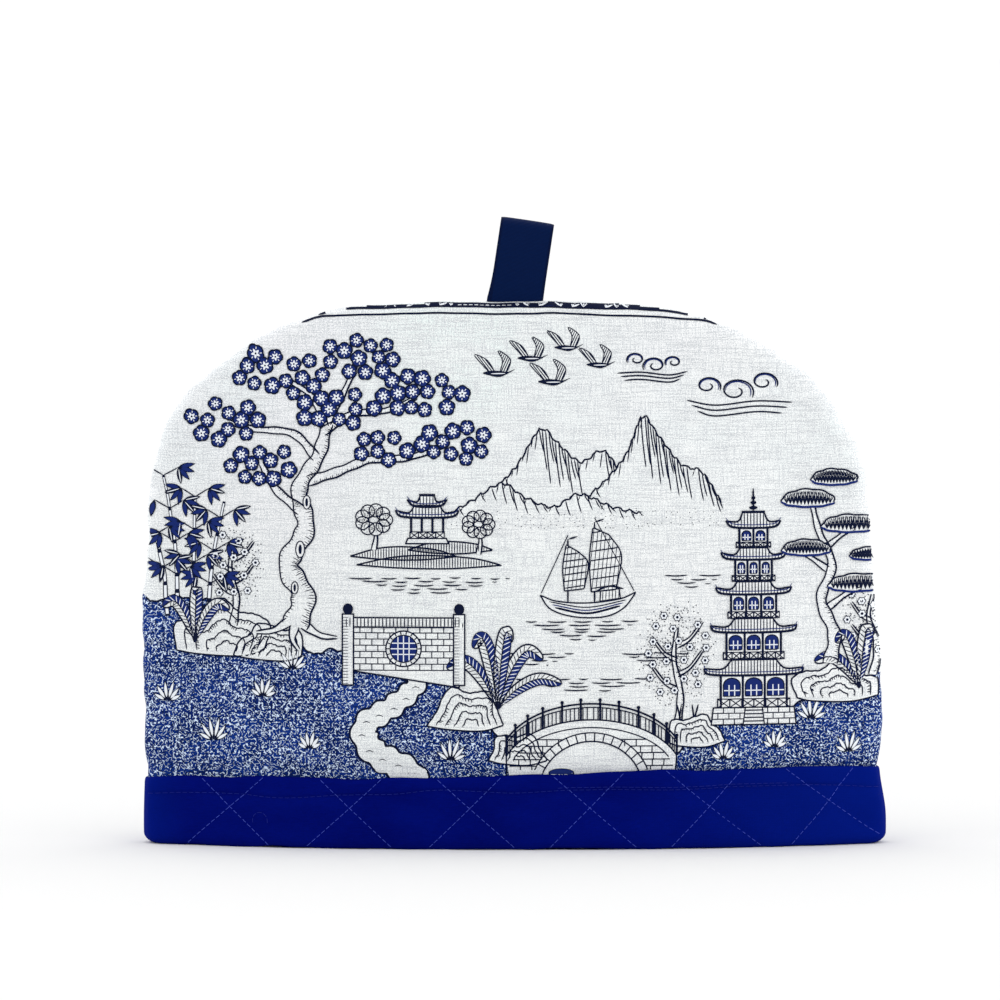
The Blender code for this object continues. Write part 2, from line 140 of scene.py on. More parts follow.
def waves(rows, at):
    """The sum of some waves: (height, rate, start) for each."""
    return sum(height * np.sin(at * rate + start) for height, rate, start in rows)


def pairs(x, z):
    """Flat points from their two coordinates, of which either may be one number for all."""
    return np.column_stack(np.broadcast_arrays(x, z))


def toward(degrees, across=1.0, up=1.0):
    """Points of a round or an ellipse about 0, in these directions."""
    turn = np.radians(degrees)
    return np.stack([across * np.cos(turn), up * np.sin(turn)], -1)


def directions(line):
    """The direction of a line at each of its points, and the direction to the left of it."""
    along = np.gradient(line, axis=0)
    along /= np.maximum(np.linalg.norm(along, axis=1), 1e-6)[:, None]
    return along, pairs(-along[:, 1], along[:, 0])


def lengths_along(line):
    """How far along a line each of its points lies."""
    return np.concatenate([[0], np.cumsum(np.linalg.norm(np.diff(line, axis=0), axis=1))])


def points_along(line, along, at):
    """A line's points at these distances."""
    return np.column_stack([np.interp(at, along, line[:, axis]) for axis in (0, 1)])


def smooth_through(rows, at, column=1):
    """A column of rows, as a smooth curve through its points, at these values of the first column."""
    table = np.array(sorted(rows), float)
    places, values = table[:, 0], table[:, column]
    at = np.clip(at, places[0], places[-1])
    slopes = np.gradient(values, places)
    cell = np.clip(np.searchsorted(places, at) - 1, 0, len(places) - 2)
    width = places[cell + 1] - places[cell]
    share = (at - places[cell]) / width
    start, end = values[cell], values[cell + 1]
    bend = (1 - share) * (slopes[cell] * width - (end - start))
    bend -= share * (slopes[cell + 1] * width - (end - start))
    return start + share * (end - start) + share * (1 - share) * bend


def seam_line():
    """The lining's outline in the seam plane, from the left of the hem over the crown to the right."""
    degrees = np.linspace(180 - OUTLINE[0][0], OUTLINE[0][0], SEAM_POINTS)
    rows = [(angle, right) for angle, _, right in OUTLINE]
    rows += [(180 - angle, left) for angle, left, _ in OUTLINE[:-1]]
    return toward(degrees) * (smooth_through(rows, degrees) - PRINT_OUTSIDE)[:, None]


def outward_along(line):
    """The outward direction at each point of a line that runs from the left over the crown to the right."""
    outward = directions(line)[1]
    outward[0], outward[-1] = (-1, 0), (1, 0)
    return outward


SEAM_LINE = seam_line()
HALF_WIDTH, SIDE_FOOT = SEAM_LINE[-1]
CROWN = SEAM_LINE[:, 1].max() + PRINT_OUTSIDE
# The whole seam, with its upright sides down to the surface.
SIDE = np.arange(0, SIDE_FOOT - 0.3, 0.5)
WHOLE_SEAM = np.concatenate([pairs(-HALF_WIDTH, SIDE), SEAM_LINE, pairs(HALF_WIDTH, SIDE[::-1])])
WHOLE_OUTWARD = outward_along(WHOLE_SEAM)


def seam_distance(x, z, coarse=12, batch=4000):
    """How far points lie inside the seam line, its outward direction there, and how far along it they are."""
    points = pairs(x, z)
    nearest = np.empty(len(points), int)
    for start in range(0, len(points), batch):
        part = points[start : start + batch]
        apart = ((part[:, None] - WHOLE_SEAM[None, ::coarse]) ** 2).sum(2)
        around = apart.argmin(1)[:, None] * coarse + np.arange(-coarse, coarse + 1)
        around = np.clip(around, 0, len(WHOLE_SEAM) - 1)
        apart = ((part[:, None] - WHOLE_SEAM[around]) ** 2).sum(2)
        nearest[start : start + batch] = around[np.arange(len(part)), apart.argmin(1)]
    outward = WHOLE_OUTWARD[nearest]
    inside = -((points - WHOLE_SEAM[nearest]) * outward).sum(1)
    return np.maximum(inside, 0), outward, nearest


def belly_at(x, z):
    """How far the wall stands forward of its padded edge."""
    apex = int(SEAM_LINE[:, 1].argmax())
    left, right = SEAM_LINE[: apex + 1], SEAM_LINE[apex:][::-1]
    half = np.where(x < 0, np.interp(z, left[:, 1], -left[:, 0]), np.interp(z, right[:, 1], right[:, 0]))
    across = 1 - np.clip(np.abs(x) / half, 0, 1) ** BELLY_ACROSS
    height = np.interp(x, *SEAM_LINE.T)
    up = np.clip((z - SIDE_FOOT) / np.maximum(height - SIDE_FOOT, 1), 0, 1)
    return BELLY * across * (1 - up**BELLY_UP)


def softness_at(x, z, inside, along):
    """The wall's unevenness: puckers beside the seam, and slow waves in the padding."""
    beside = np.exp(-inside / 16) * (1 - np.exp(-inside / 2.5))
    slow = np.sin(x / 31 + z / 47) * np.cos(z / 38 - x / 71) + 0.6 * np.sin(x / 19 - z / 26 + 2)
    return waves(PUCKERS, along) * beside + PADDING_WAVES * slow * eased(inside / 40)


def ripple_at(z, inside, along):
    """How far the seam's line strays outwards, most at the sides, with the cloth beside it."""
    held = eased((z - 45) / 30) * (1 - 0.65 * eased((z - 225) / 25))
    return waves(STRAYS, along) * np.exp(-inside / 9) * held


def on_wall(x, z, offset, step=0.4):
    """Points on the front wall over flat points, at an offset outwards from the lining's outer face."""
    x, z = np.asarray(x, float), np.asarray(z, float)
    inside, outward, along = seam_distance(x, z)

    def form(x, z):
        return belly_at(x, z) + softness_at(x, z, inside, along)

    share = np.minimum(inside / EDGE_REACH, 1)
    rise = np.sqrt(np.maximum(1 - (1 - share) ** 2, 1e-9))
    edge_slope = EDGE_ROUND * (1 - share) / EDGE_REACH / rise
    slopes = [(form(x + dx, z + dz) - form(x - dx, z - dz)) / (2 * step) for dx, dz in ((step, 0), (0, step))]
    away_x, away_z = edge_slope * outward.T - slopes
    away = np.column_stack([away_x, -np.ones(len(x)), away_z])
    away /= np.linalg.norm(away, axis=1)[:, None]
    strays = ripple_at(z, inside, along)
    depth = SEAM_DEPTH + EDGE_ROUND * rise + form(x, z)
    base = np.column_stack([x + strays * outward[:, 0], -depth, z + strays * outward[:, 1]])
    waist = WAIST * np.clip(1 - (z - SIDE_FOOT) / WAIST_RISE, 0, 1) ** 2
    drawn = waist * (0.45 + 0.55 * eased(inside / 14))
    return base + away * (np.asarray(offset) - drawn)[:, None]


def flared(points):
    """The foot spreads at each side seam, draws in above the band, and is rounded at its lower corners."""
    x, _, z = points.T
    sway = np.where(x > 0, smooth_through(SIDE_SWAY, z, 2), smooth_through(SIDE_SWAY, z, 1))
    near = np.clip(np.abs(x) / HALF_WIDTH, 0, 1.1)
    low = np.clip(1 - np.maximum(z, 0) / CORNER_UP, 0, 1)
    cut = CORNER_ACROSS * (1 - np.sqrt(1 - low**2))
    return points + np.outer(np.sign(x) * (sway * near**5 - cut * near**10), (1, 0, 0))


def turned(points, side):
    """Points of the front half, or the same mirrored for the back half."""
    return points if side == FRONT else points * (1, -1, 1)


def spaced(line, cells, crowding=1.0):
    """Points that part a line into cells, shorter where it bends, and towards its start if crowded."""
    step = np.diff(line, axis=0)
    heading = np.unwrap(np.arctan2(step[:, 1], step[:, 0]))
    turn = np.abs(np.diff(heading, prepend=heading[0]))
    along = lengths_along(line) + BEND_LENGTH * np.concatenate([[0], np.cumsum(turn)])
    return points_along(line, along, along[-1] * np.linspace(0, 1, cells + 1) ** crowding)


def seam_stations(columns, rows):
    """The seam's points from the left of the band over the crown to the right, and outward directions."""
    degrees = np.degrees(np.arctan2(SEAM_LINE[:, 1], SEAM_LINE[:, 0]))
    left = spaced(SEAM_LINE[degrees >= 180 - SHOULDER], rows, FOOT_CROWDING)
    over = spaced(SEAM_LINE[(degrees <= 180 - SHOULDER) & (degrees >= SHOULDER)], columns)
    right = spaced(SEAM_LINE[degrees <= SHOULDER][::-1], rows, FOOT_CROWDING)[::-1]
    stations = np.concatenate([left[:-1], over, right[1:]])
    return stations, outward_along(stations)


# ---------------------------------------------------------------- meshes


def placed(name, data):
    """An object in the scene."""
    made = bpy.data.objects.new(name, data)
    bpy.context.scene.collection.objects.link(made)
    return made


def mesh_of(name, points, faces, materials):
    mesh = bpy.data.meshes.new(name)
    mesh.from_pydata(points, [], faces)
    for material in materials:
        mesh.materials.append(material)
    return mesh


def made_piece(name, points, faces, materials, slots=None):
    """A piece riding on the cosy, from points in millimetres."""
    mesh = mesh_of(name, (np.asarray(points, float) * MM).tolist(), faces, materials)
    mesh.validate()
    if slots is not None:
        mesh.polygons.foreach_set("material_index", slots)
    mesh.shade_smooth()
    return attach(placed(name, mesh), "root")


def marked(piece, across, up):
    """Keeps where each of the piece's points lies on the flat cloth."""
    place = piece.data.attributes.new("cloth_place", "FLOAT_VECTOR", "POINT")
    place.data.foreach_set("vector", np.column_stack([across, up, 0 * across]).ravel())


def reworked(piece, change):
    """Makes a change to the faces of a piece."""
    work = bmesh.new()
    work.from_mesh(piece.data)
    change(work)
    work.to_mesh(piece.data)
    work.free()


class Cloth:
    """A sheet in the making: its faces, and where its points lie on the outer, the inner and the flat face."""

    def __init__(self):
        self.outer, self.inner, self.flat, self.faces = [], [], [], []

    def add(self, outer, inner, flat):
        """The numbers of new points, which lie at these places on the flat cloth."""
        first = len(self.outer)
        for known, new in ((self.outer, outer), (self.inner, inner), (self.flat, flat)):
            known.extend(new)
        return list(range(first, first + len(outer)))

    def ladders(self, rows):
        """Joins each row of points to the next above it."""
        for low, high in rows:
            self.faces += [(low[i], low[i + 1], high[i + 1], high[i]) for i in range(len(low) - 1)]

    def closed(self):
        """Points and faces of the closed sheet."""
        count = len(self.outer)
        uses = {}
        for face in self.faces:
            for a, b in zip(face, face[1:] + face[:1]):
                uses.setdefault(frozenset((a, b)), []).append((a, b))
        border = [found[0] for found in uses.values() if len(found) == 1]
        faces = self.faces + [tuple(count + i for i in reversed(face)) for face in self.faces]
        faces += [(b, a, count + a, count + b) for a, b in border]
        return np.array(self.outer + self.inner), faces

    def piece(self, name, side, materials):
        """The finished sheet, for one half of the cosy."""
        points, faces = self.closed()
        piece = made_piece(name, turned(flared(points), side), faces, materials)
        x, up = np.array(self.flat + self.flat).T
        marked(piece, -side * x, up)
        reworked(piece, lambda work: bmesh.ops.recalc_face_normals(work, faces=work.faces))
        return piece


# Where the cloth turns in to the seam: (in from the edge, from the seam plane)
TUCKS = ((0.35, 0.75), (1.3, 0.06))
RIBBON_ROOM = 1.3  # from the seam plane to the cloth where the ribbon passes between the halves


def tucked(points, outward, tuck):
    """Points at the cloth's edge, turned in to the seam but clear of the ribbon."""
    inwards, depth = tuck
    moved = points.copy()
    beside = np.abs(points[:, 0] - RIBBON_FOOT_X) - RIBBON_WIDTH / 2 - 0.6
    room = RIBBON_ROOM * (1 - eased(beside / 3)) * (points[:, 2] > CROWN - 8)
    moved[:, [0, 2]] -= outward * inwards
    moved[:, 1] = -np.maximum(depth, room)
    return moved


# How far inside the seam the padded edge's rows lie, from the seam to where the wall begins.
RIM_INSETS = EDGE_REACH * (1 - np.cos(np.linspace(0, math.pi / 2, RIM_CELLS + 1)[:-1]))


def slack_at(inset):
    """How far the cloth reaches past its outline, taken up by the padded edge, this far inside the seam."""
    turn = np.linspace(math.pi / 2, 0, 60)
    step = np.hypot(EDGE_REACH * np.sin(turn), EDGE_ROUND * np.cos(turn)) * (turn[0] - turn[1])
    reach = EDGE_REACH * np.cos(turn)
    return np.interp(EDGE_REACH - inset, reach, np.cumsum(step) - step[0] - reach)


RIM_SLACK = slack_at(RIM_INSETS)


def mouth_columns(middle):
    """The columns of a row round the mouth, with the padded edge's at both ends."""
    rim = HALF_WIDTH - RIM_INSETS
    return np.concatenate([-rim, middle, rim[::-1]])


def level_row(cloth, middle, height, outer, inner, inner_height=None):
    """A row round the mouth, from tuck to tuck, at one height or one for each of its columns."""
    x = mouth_columns(middle)
    flat = pairs(x + np.concatenate([-RIM_SLACK, np.zeros(len(middle)), RIM_SLACK[::-1]]), height)
    flat = np.concatenate([flat[:1] - (2, 0), flat[:1] - (1, 0), flat, flat[-1:] + (1, 0), flat[-1:] + (2, 0)])
    faces = []
    for offset, z in ((outer, height), (inner, height if inner_height is None else inner_height)):
        row = on_wall(*np.broadcast_arrays(x, z, offset))
        left = [tucked(row[:1], np.array((-1.0, 0.0)), tuck) for tuck in TUCKS[::-1]]
        right = [tucked(row[-1:], np.array((1.0, 0.0)), tuck) for tuck in TUCKS]
        faces.append(np.concatenate([*left, row, *right]))
    return cloth.add(*faces, flat)


def upper_wall(cloth, foot_row, middle, rows, outer, inner):
    """The wall above the band, up to the tucked seam, joined to the row at its foot."""
    columns, tucks = len(middle) - 1, len(TUCKS)
    stations, outward = seam_stations(columns, rows)
    inset = stations - outward * EDGE_REACH
    last = len(stations) - 1
    left, top, right = inset[: rows + 1], inset[rows : rows + columns + 1], inset[rows + columns :][::-1]
    foot = pairs(middle, SIDE_FOOT)

    across, up = np.meshgrid(np.linspace(0, 1, columns + 1), np.linspace(0, 1, rows + 1)[1:])
    across, up = across[..., None], up[..., None]
    flat = (1 - across) * left[1:, None] + across * right[1:, None] + (1 - up) * foot[None] + up * top[None]
    flat = flat - (1 - across) * ((1 - up) * left[0] + up * left[-1])
    flat = flat - across * ((1 - up) * right[0] + up * right[-1])
    wall_flat = flat.reshape(-1, 2)
    edge, out = stations[1:last], outward[1:last]
    rim = [edge - out * inset for inset in RIM_INSETS]
    x, z = np.concatenate([wall_flat, *rim]).T
    faces = []
    for face in (outer, inner):
        wall = on_wall(x, z, face(x, z))
        seam = wall[len(wall_flat) :][: len(edge)]
        faces.append(np.concatenate([wall, *[tucked(seam, out, tuck) for tuck in TUCKS]]))
    let_out = [row + out * slack for row, slack in zip(rim, RIM_SLACK)]
    let_out += [let_out[0] + out * (1 + tuck) for tuck in range(tucks)]
    first = cloth.add(*faces, np.concatenate([wall_flat, *let_out]))[0]

    def middle_point(i, j):
        return foot_row[tucks + RIM_CELLS + i] if j == 0 else first + (j - 1) * (columns + 1) + i

    def rim_point(k, r):
        """r counts rows in from the edge; below 0 it counts the tucks."""
        if r == RIM_CELLS and k >= rows + columns:
            return middle_point(columns, last - k)
        if k in (0, last):
            return foot_row[tucks + r] if k == 0 else foot_row[-1 - tucks - r]
        if r == RIM_CELLS:
            return middle_point(0, k) if k <= rows else middle_point(k - rows, rows)
        row = r if r >= 0 else RIM_CELLS - r - 1
        return first + len(wall_flat) + row * (last - 1) + k - 1

    for j in range(rows):
        for i in range(columns):
            ring = ((i, j), (i + 1, j), (i + 1, j + 1), (i, j + 1))
            cloth.faces.append(tuple(middle_point(*place) for place in ring))
    for k in range(last):
        for r in range(-tucks, RIM_CELLS):
            ring = ((k, r + 1), (k + 1, r + 1), (k + 1, r), (k, r))
            cloth.faces.append(tuple(rim_point(*place) for place in ring))


# ---------------------------------------------------------------- the quilted lining and its band


def quilt_sway(x, z):
    """How far points lie above the quilting's crossings, and how far it is carried to the left there."""
    above = z - smooth_through(QUILT_SWAY, x)
    return above, smooth_through(QUILT_SWAY, x, 2) * np.clip(above, -25, 25)


def quilt_trough(x, z):
    """1 on a line of the diamond quilting, falling away to 0 beside it."""
    above, carried = quilt_sway(x, z)
    along, up = x + carried - QUILT_CROSSING, above / math.tan(QUILT_SLOPE)
    lines = np.stack([along + up, along - up]) + QUILT_PITCH / 2
    distance = np.abs(lines % QUILT_PITCH - QUILT_PITCH / 2).min(0) * math.sin(QUILT_SLOPE)
    return np.exp(-((distance / QUILT_SPREAD) ** 2))


def off_seam(x):
    """0 in the side seams, rising to 1 beside them."""
    return eased((HALF_WIDTH - np.abs(x)) / EDGE_REACH * 2)


def band_top(x):
    """The height of the band's upper edge."""
    return smooth_through(BAND_TOP, x) + waves(BAND_WAVES, x)


def topstitch_height(x):
    """The height of the stitching under the band's upper edge."""
    return smooth_through(TOPSTITCH, x) + 0.1 * np.sin(x / 7)


def band_surface(x, height):
    """The band's outer face: puffed between its quilting lines and fuller towards its top, drawn in along the
    topstitching, and pressed flat at the side seams."""
    free, below = off_seam(x), topstitch_height(x) - height
    ripple = 0.18 * np.sin(x / 6.1 + height / 4) * np.cos(height / 5.3 - x / 17)
    full = 0.3 * eased((height - FOLD_HEIGHT) / (band_top(x) - FOLD_HEIGHT))
    full -= 0.6 * np.exp(-(below**2)) + 0.5 * eased((below + 0.8) / 1.6) * np.exp(-np.maximum(below, 0) / 3.0)
    puffed = full + ripple - QUILT_DEPTH * quilt_trough(x, height)
    return CUFF_OUTSIDE - SEAM_PRESS * (1 - free) + free * puffed


def hem_lift(x):
    """How far the fold stands off the surface."""
    drawn = np.clip(quilt_trough(x, 0.0) - 0.3, 0, 1)
    return (np.maximum(smooth_through(HEM_LIFTS, x), 0) + 0.3 * drawn) * off_seam(x)


def quilted_lining():
    """One lining: the band outside, the fold under the hem and the wall inside, up to the seam."""
    cloth = Cloth()
    cell, end = QUILT_PITCH / QUILT_CELLS, HALF_WIDTH - EDGE_REACH
    first, last = -int((end + QUILT_CROSSING) / cell), int((end - QUILT_CROSSING) / cell)
    middle = QUILT_CROSSING + cell * np.arange(first, last + 1)
    x = mouth_columns(middle)
    top, line = band_top(x), topstitch_height(x)

    # The band's rows: (height, in from its face), first those of its rounded upper edge.
    rows = []
    for down, inwards in ((0, 0.55), (0.25, 0.25), (0.9, 0.08), (2.2, 0)):
        rows.append((top - down, inwards * CUFF_THICK * (0.4 + 0.6 * off_seam(x))))
    rows += [((top - 2.2) * (1 - share) + (line + 1.3) * share, 0) for share in (0.3, 0.6, 0.85)]
    rows += [(line + above, 0) for above in (1.3, 0.8, 0.4, 0, -0.4, -0.8, -1.3, -2.2)]
    rows += [((line - 2.2) * (1 - share) + FOLD_HEIGHT * share, 0) for share in np.linspace(0, 1, 12)[1:]]
    numbers = []
    for height, inwards in rows:
        numbers.append(level_row(cloth, middle, height, band_surface(x, height) - inwards, CUFF_INSIDE))

    lift, face = hem_lift(x), band_surface(x, FOLD_HEIGHT)
    for turn in np.linspace(0, math.pi, FOLD_STEPS + 1)[1:-1]:
        height = np.maximum(lift, FOLD_HEIGHT - FOLD_DROP * math.sin(turn))
        outer = (face - LINING_THICK + (face + LINING_THICK) * math.cos(turn)) / 2
        inner = CUFF_INSIDE / 2 * (1 + math.cos(turn))
        inner_height = FOLD_HEIGHT - CUFF_INSIDE / 2 * math.sin(turn)
        numbers.append(level_row(cloth, middle, height, outer, inner, inner_height))

    for height in np.linspace(FOLD_HEIGHT, SIDE_FOOT, 10):
        shown = QUILT_DEPTH * quilt_trough(x, height) * off_seam(x) * eased((height - 4) / 8)
        numbers.append(level_row(cloth, middle, height, shown - LINING_THICK, 0.0))
    cloth.ladders(zip(numbers[1:], numbers))
    inside = lambda x, z: QUILT_DEPTH * quilt_trough(x, z) - LINING_THICK
    upper_wall(cloth, numbers[-1], middle, INSIDE_ROWS, inside, lambda x, z: 0.0)
    return cloth


def printed_panel():
    """One printed panel, from behind the band up to the tucked seam."""
    cloth = Cloth()
    middle = np.linspace(EDGE_REACH - HALF_WIDTH, HALF_WIDTH - EDGE_REACH, WALL_COLUMNS + 1)
    heights = np.linspace(PANEL_FOOT, SIDE_FOOT, 9)
    rows = [level_row(cloth, middle, height, PRINT_OUTSIDE, PRINT_INSIDE) for height in heights]
    cloth.ladders(zip(rows, rows[1:]))
    upper_wall(cloth, rows[-1], middle, WALL_ROWS, lambda x, z: PRINT_OUTSIDE, lambda x, z: PRINT_INSIDE)
    return cloth


# ---------------------------------------------------------------- ribbon and stitches


def ribbon_middle_line():
    """The ribbon's middle line, seen end on, from the front tail over the fold to the back tail."""
    straight = RIBBON_RISE - RIBBON_THICK / 2 - RIBBON_FOLD
    up = np.linspace(0, straight, 25)
    leg = RIBBON_LEG + (RIBBON_FOLD - RIBBON_LEG) * eased(up / straight)
    front = np.concatenate([[(-RIBBON_LEG, -RIBBON_TAIL)], pairs(-leg, up)])
    over = toward(np.linspace(180, 0, 19)[1:-1]) * RIBBON_FOLD + (0, straight)
    return np.concatenate([front, over, front[::-1] * (-1, 1)])


def ribbon_loop(materials):
    """The folded ribbon, leaning, its long edges thin and its faces barely cupped."""
    line = ribbon_middle_line()
    away = directions(line)[1]
    steps = np.linspace(-1, 1, 17)
    points = []
    # Round the section: (across, from -1 to 1; which face)
    section = [(across, 1) for across in steps] + [(across, -1) for across in steps[::-1]]
    for across, facing in section:
        edge = across * RIBBON_WIDTH / 2
        thick = facing * (1 - 0.55 * abs(across) ** 12)
        cupped = 0.12 * math.cos(across * math.pi / 2) - 0.1
        face = line + away * (thick * RIBBON_THICK / 2 + cupped)
        up = face[:, 1].copy()
        up[[0, -1]] = (edge * LEAN_ACROSS - RIBBON_TAIL) / LEAN_UP
        spread = across * (0.25 if across > 0 else 1.0) * np.clip(1 - up / 16, 0, 1) ** 2
        x = RIBBON_FOOT_X + (edge + spread) * LEAN_UP + up * LEAN_ACROSS
        points.extend(np.column_stack([x, face[:, 0], CROWN - edge * LEAN_ACROSS + up * LEAN_UP]))
    count, sides = len(line), len(section)
    faces = []
    for side in range(sides):
        low, high = side * count, (side + 1) % sides * count
        faces += [(low + i, low + i + 1, high + i + 1, high + i) for i in range(count - 1)]
    faces += [tuple(side * count + end for side in range(sides)) for end in (0, count - 1)]
    ribbon = made_piece("ribbon", points, faces, materials)
    return ribbon


STITCH_LENGTH, STITCH_GAP = 2.4, 0.6
THREAD = 0.115  # radius
STITCH_SIDES = 5
# Along a stitch: (share of its length, thickness share, lift above the cloth)
STITCH_RINGS = ((0, 0.5, -0.08), (0.12, 1, 0.06), (0.5, 1.05, 0.11), (0.88, 1, 0.06), (1, 0.5, -0.08))


def stitched(lines):
    """Rows of stitches along flat lines over the band: their points and faces."""
    points, faces = [], []
    shares, thicknesses, lifts = np.array(STITCH_RINGS).T
    around = toward(np.arange(STITCH_SIDES) * 360 / STITCH_SIDES)
    for line in lines:
        along = lengths_along(line)
        count = max(2, round(along[-1] / (STITCH_LENGTH + STITCH_GAP)))
        for start in np.linspace(0.2, along[-1] - STITCH_LENGTH - 0.2, count):
            x, z = points_along(line, along, start + STITCH_LENGTH * shares).T
            centre = on_wall(x, z, band_surface(x, z) + lifts)
            heading = centre[-1] - centre[0]
            heading /= np.linalg.norm(heading)
            outwards = on_wall(x[[2]], z[[2]], 9.0)[0] - on_wall(x[[2]], z[[2]], 8.0)[0]
            ring = THREAD * around @ [np.cross(heading, outwards), outwards]
            first = len(points)
            for middle, thickness in zip(centre, thicknesses):
                points.extend(middle + ring * thickness)
            end = len(points) - STITCH_SIDES
            for low in range(first, end, STITCH_SIDES):
                for side in range(STITCH_SIDES):
                    a, b = low + side, low + (side + 1) % STITCH_SIDES
                    faces.append((a, a + STITCH_SIDES, b + STITCH_SIDES, b))
            faces.append(tuple(range(first, first + STITCH_SIDES)))
            faces.append(tuple(range(end + STITCH_SIDES - 1, end - 1, -1)))
    return flared(np.array(points)), faces


def quilting_lines():
    """The diamond quilting's lines over the band, from its hem to its upper edge."""
    lines = []
    z = np.linspace(1.0, 38.0, 75)
    for lean in (-1, 1):
        for number in range(-5, 6):
            crossing = QUILT_CROSSING + number * QUILT_PITCH
            x = np.full(len(z), crossing)
            for _ in range(8):
                above, carried = quilt_sway(x, z)
                x = crossing + lean * above / math.tan(QUILT_SLOPE) - carried
            kept = (np.abs(x) < HALF_WIDTH - 3) & (z < band_top(x) - 0.4)
            if kept.sum() > 10:
                lines.append(pairs(x, z)[kept])
    return lines


def topstitch_lines():
    """The line of stitching under the band's top, doubled towards the right, and a short bow of stitches left
    by the quilting near the left end of the band."""
    lines = []
    for start, end, above in ((2 - HALF_WIDTH, HALF_WIDTH - 2, 0.0), (20, 128, 1.2)):
        x = np.linspace(start, end, 300)
        lines.append(pairs(x, topstitch_height(x) + above + 0.15 * np.sin(x / 13)))
    return [*lines, toward(np.linspace(195, -15, 40), 3.6, 4.2) + (-119.2, 12.4)]


# ---------------------------------------------------------------- finishes

WEAVE_PITCH, QUILTED_WEAVE_PITCH, RIB_PITCH = 0.45, 0.4, 0.62
RELIEF = 0.12
SELVEDGE = 1.0, 1.6  # in from the ribbon's edge, where the darker part begins and ends
# Noise over the flat cotton: (rate across, rate up, place in the noise, detail, roughness)
SLUBS, UPRIGHTS = (0.055, 1.3, 0.0, 3.0, 0.65), (1.8, 0.10, 7.0, 2.0, 0.6)
GRAIN, TINT, PATCHES = (1.7, 1.9, 5.0, 2.0, 0.6), (0.014, 0.014, 3.0, 1.0, 0.4), (0.05, 0.05, 11.0, 2.0, 0.5)
WORMS, BROKEN, DEPTHS = (0.61, 0.61, 0.0, 1.0, 0.5), (0.68, 0.68, 9.0, 1.0, 0.5), (0.05, 0.05, 3.0, 2.0, 0.5)
WORN = (0.18, 0.18, 2.0, 3.0, 0.6)
COTTON = (0.8, 0.81, 0.84)


class Value:
    """A number, colour or vector on its way through a finish's nodes."""

    def __init__(self, finish, socket):
        self.finish, self.socket = finish, socket

    def maths(self, operation, *others):
        return self.finish.node("ShaderNodeMath", {"operation": operation}, (self, *others))

    def __add__(self, other):
        return self.maths("ADD", other)

    def __mul__(self, other):
        return self.maths("MULTIPLY", other)

    def __sub__(self, other):
        return self.maths("SUBTRACT", other)

    def __truediv__(self, other):
        return self.maths("DIVIDE", other)

    def __rsub__(self, other):
        return self.finish.node("ShaderNodeMath", {"operation": "SUBTRACT"}, (other, self))

    __radd__, __rmul__ = __add__, __mul__

    def between(self, low, high, start=0.0, end=1.0):
        """Its range from low to high, taken to start to end, and no further."""
        settings = {"interpolation_type": "SMOOTHSTEP"}
        return self.finish.node("ShaderNodeMapRange", settings, (self, low, high, start, end))


class Finish:
    """A material of one Principled shader and the nodes that vary it."""

    def __init__(self, name, colour, rough, specular):
        self.material = bpy.data.materials.new(name)
        self.material.use_nodes = True
        self.tree = self.material.node_tree
        self.shader = self.tree.nodes["Principled BSDF"]
        constants = {"Base Color": (*colour, 1), "Roughness": rough, "Specular IOR Level": specular}
        for socket, value in constants.items():
            self.shader.inputs[socket].default_value = value

    def node(self, kind, settings, sockets, output=0):
        """One node: its settings first, then the values or links of its sockets, in their order or by name."""
        made = self.tree.nodes.new(kind)
        for setting, value in settings.items():
            setattr(made, setting, value)
        for socket, value in sockets.items() if isinstance(sockets, dict) else enumerate(sockets):
            if isinstance(value, Value):
                self.tree.links.new(value.socket, made.inputs[socket])
            else:
                made.inputs[socket].default_value = value
        return Value(self, made.outputs[output])

    def drive(self, socket, value):
        self.tree.links.new(value.socket, self.shader.inputs[socket])

    def parts(self, vector):
        """A vector's three numbers."""
        split = self.node("ShaderNodeSeparateXYZ", {}, (vector,))
        return [Value(self, output) for output in split.socket.node.outputs]

    def cloth_place(self):
        """Where a point lies on the flat cloth: across and up, in millimetres, and 0."""
        return self.node("ShaderNodeAttribute", {"attribute_name": "cloth_place"}, (), "Vector")

    def object_place(self):
        """Where a point lies on the piece, in millimetres."""
        place = self.node("ShaderNodeTexCoord", {}, (), "Object")
        return self.node("ShaderNodeVectorMath", {"operation": "SCALE"}, {0: place, "Scale": 1 / MM})

    def noise(self, place, detail, rough=0.5, scale=1.0):
        """Noise at a place, given as a vector or as its three numbers."""
        if isinstance(place, tuple):
            place = self.node("ShaderNodeCombineXYZ", {}, place)
        sockets = {"Vector": place, "Scale": scale, "Detail": detail, "Roughness": rough}
        return self.node("ShaderNodeTexNoise", {}, sockets)

    def noise_over(self, x, up, kind):
        """One of the noises over the flat cotton."""
        across, rise, depth, detail, rough = kind
        return self.noise((x * across, up * rise, depth), detail, rough)

    def mixed(self, share, first, second):
        first, second = ((*colour, 1) if isinstance(colour, tuple) else colour for colour in (first, second))
        return self.node("ShaderNodeMix", {"data_type": "RGBA"}, {0: share, 6: first, 7: second}, 2)

    def raised(self, height):
        """Fine surface relief, from a height of 0 to 1."""
        self.drive("Normal", self.node("ShaderNodeBump", {}, {"Height": height, "Distance": RELIEF * MM}))


def sine(value):
    return value.maths("SINE") if isinstance(value, Value) else np.sin(value)


def size_of(value):
    return value.maths("ABSOLUTE") if isinstance(value, Value) else np.abs(value)


def clamped(value):
    """A share kept between 0 and 1."""
    if isinstance(value, Value):
        return value.maths("MAXIMUM", 0.0).maths("MINIMUM", 1.0)
    return np.clip(value, 0, 1)


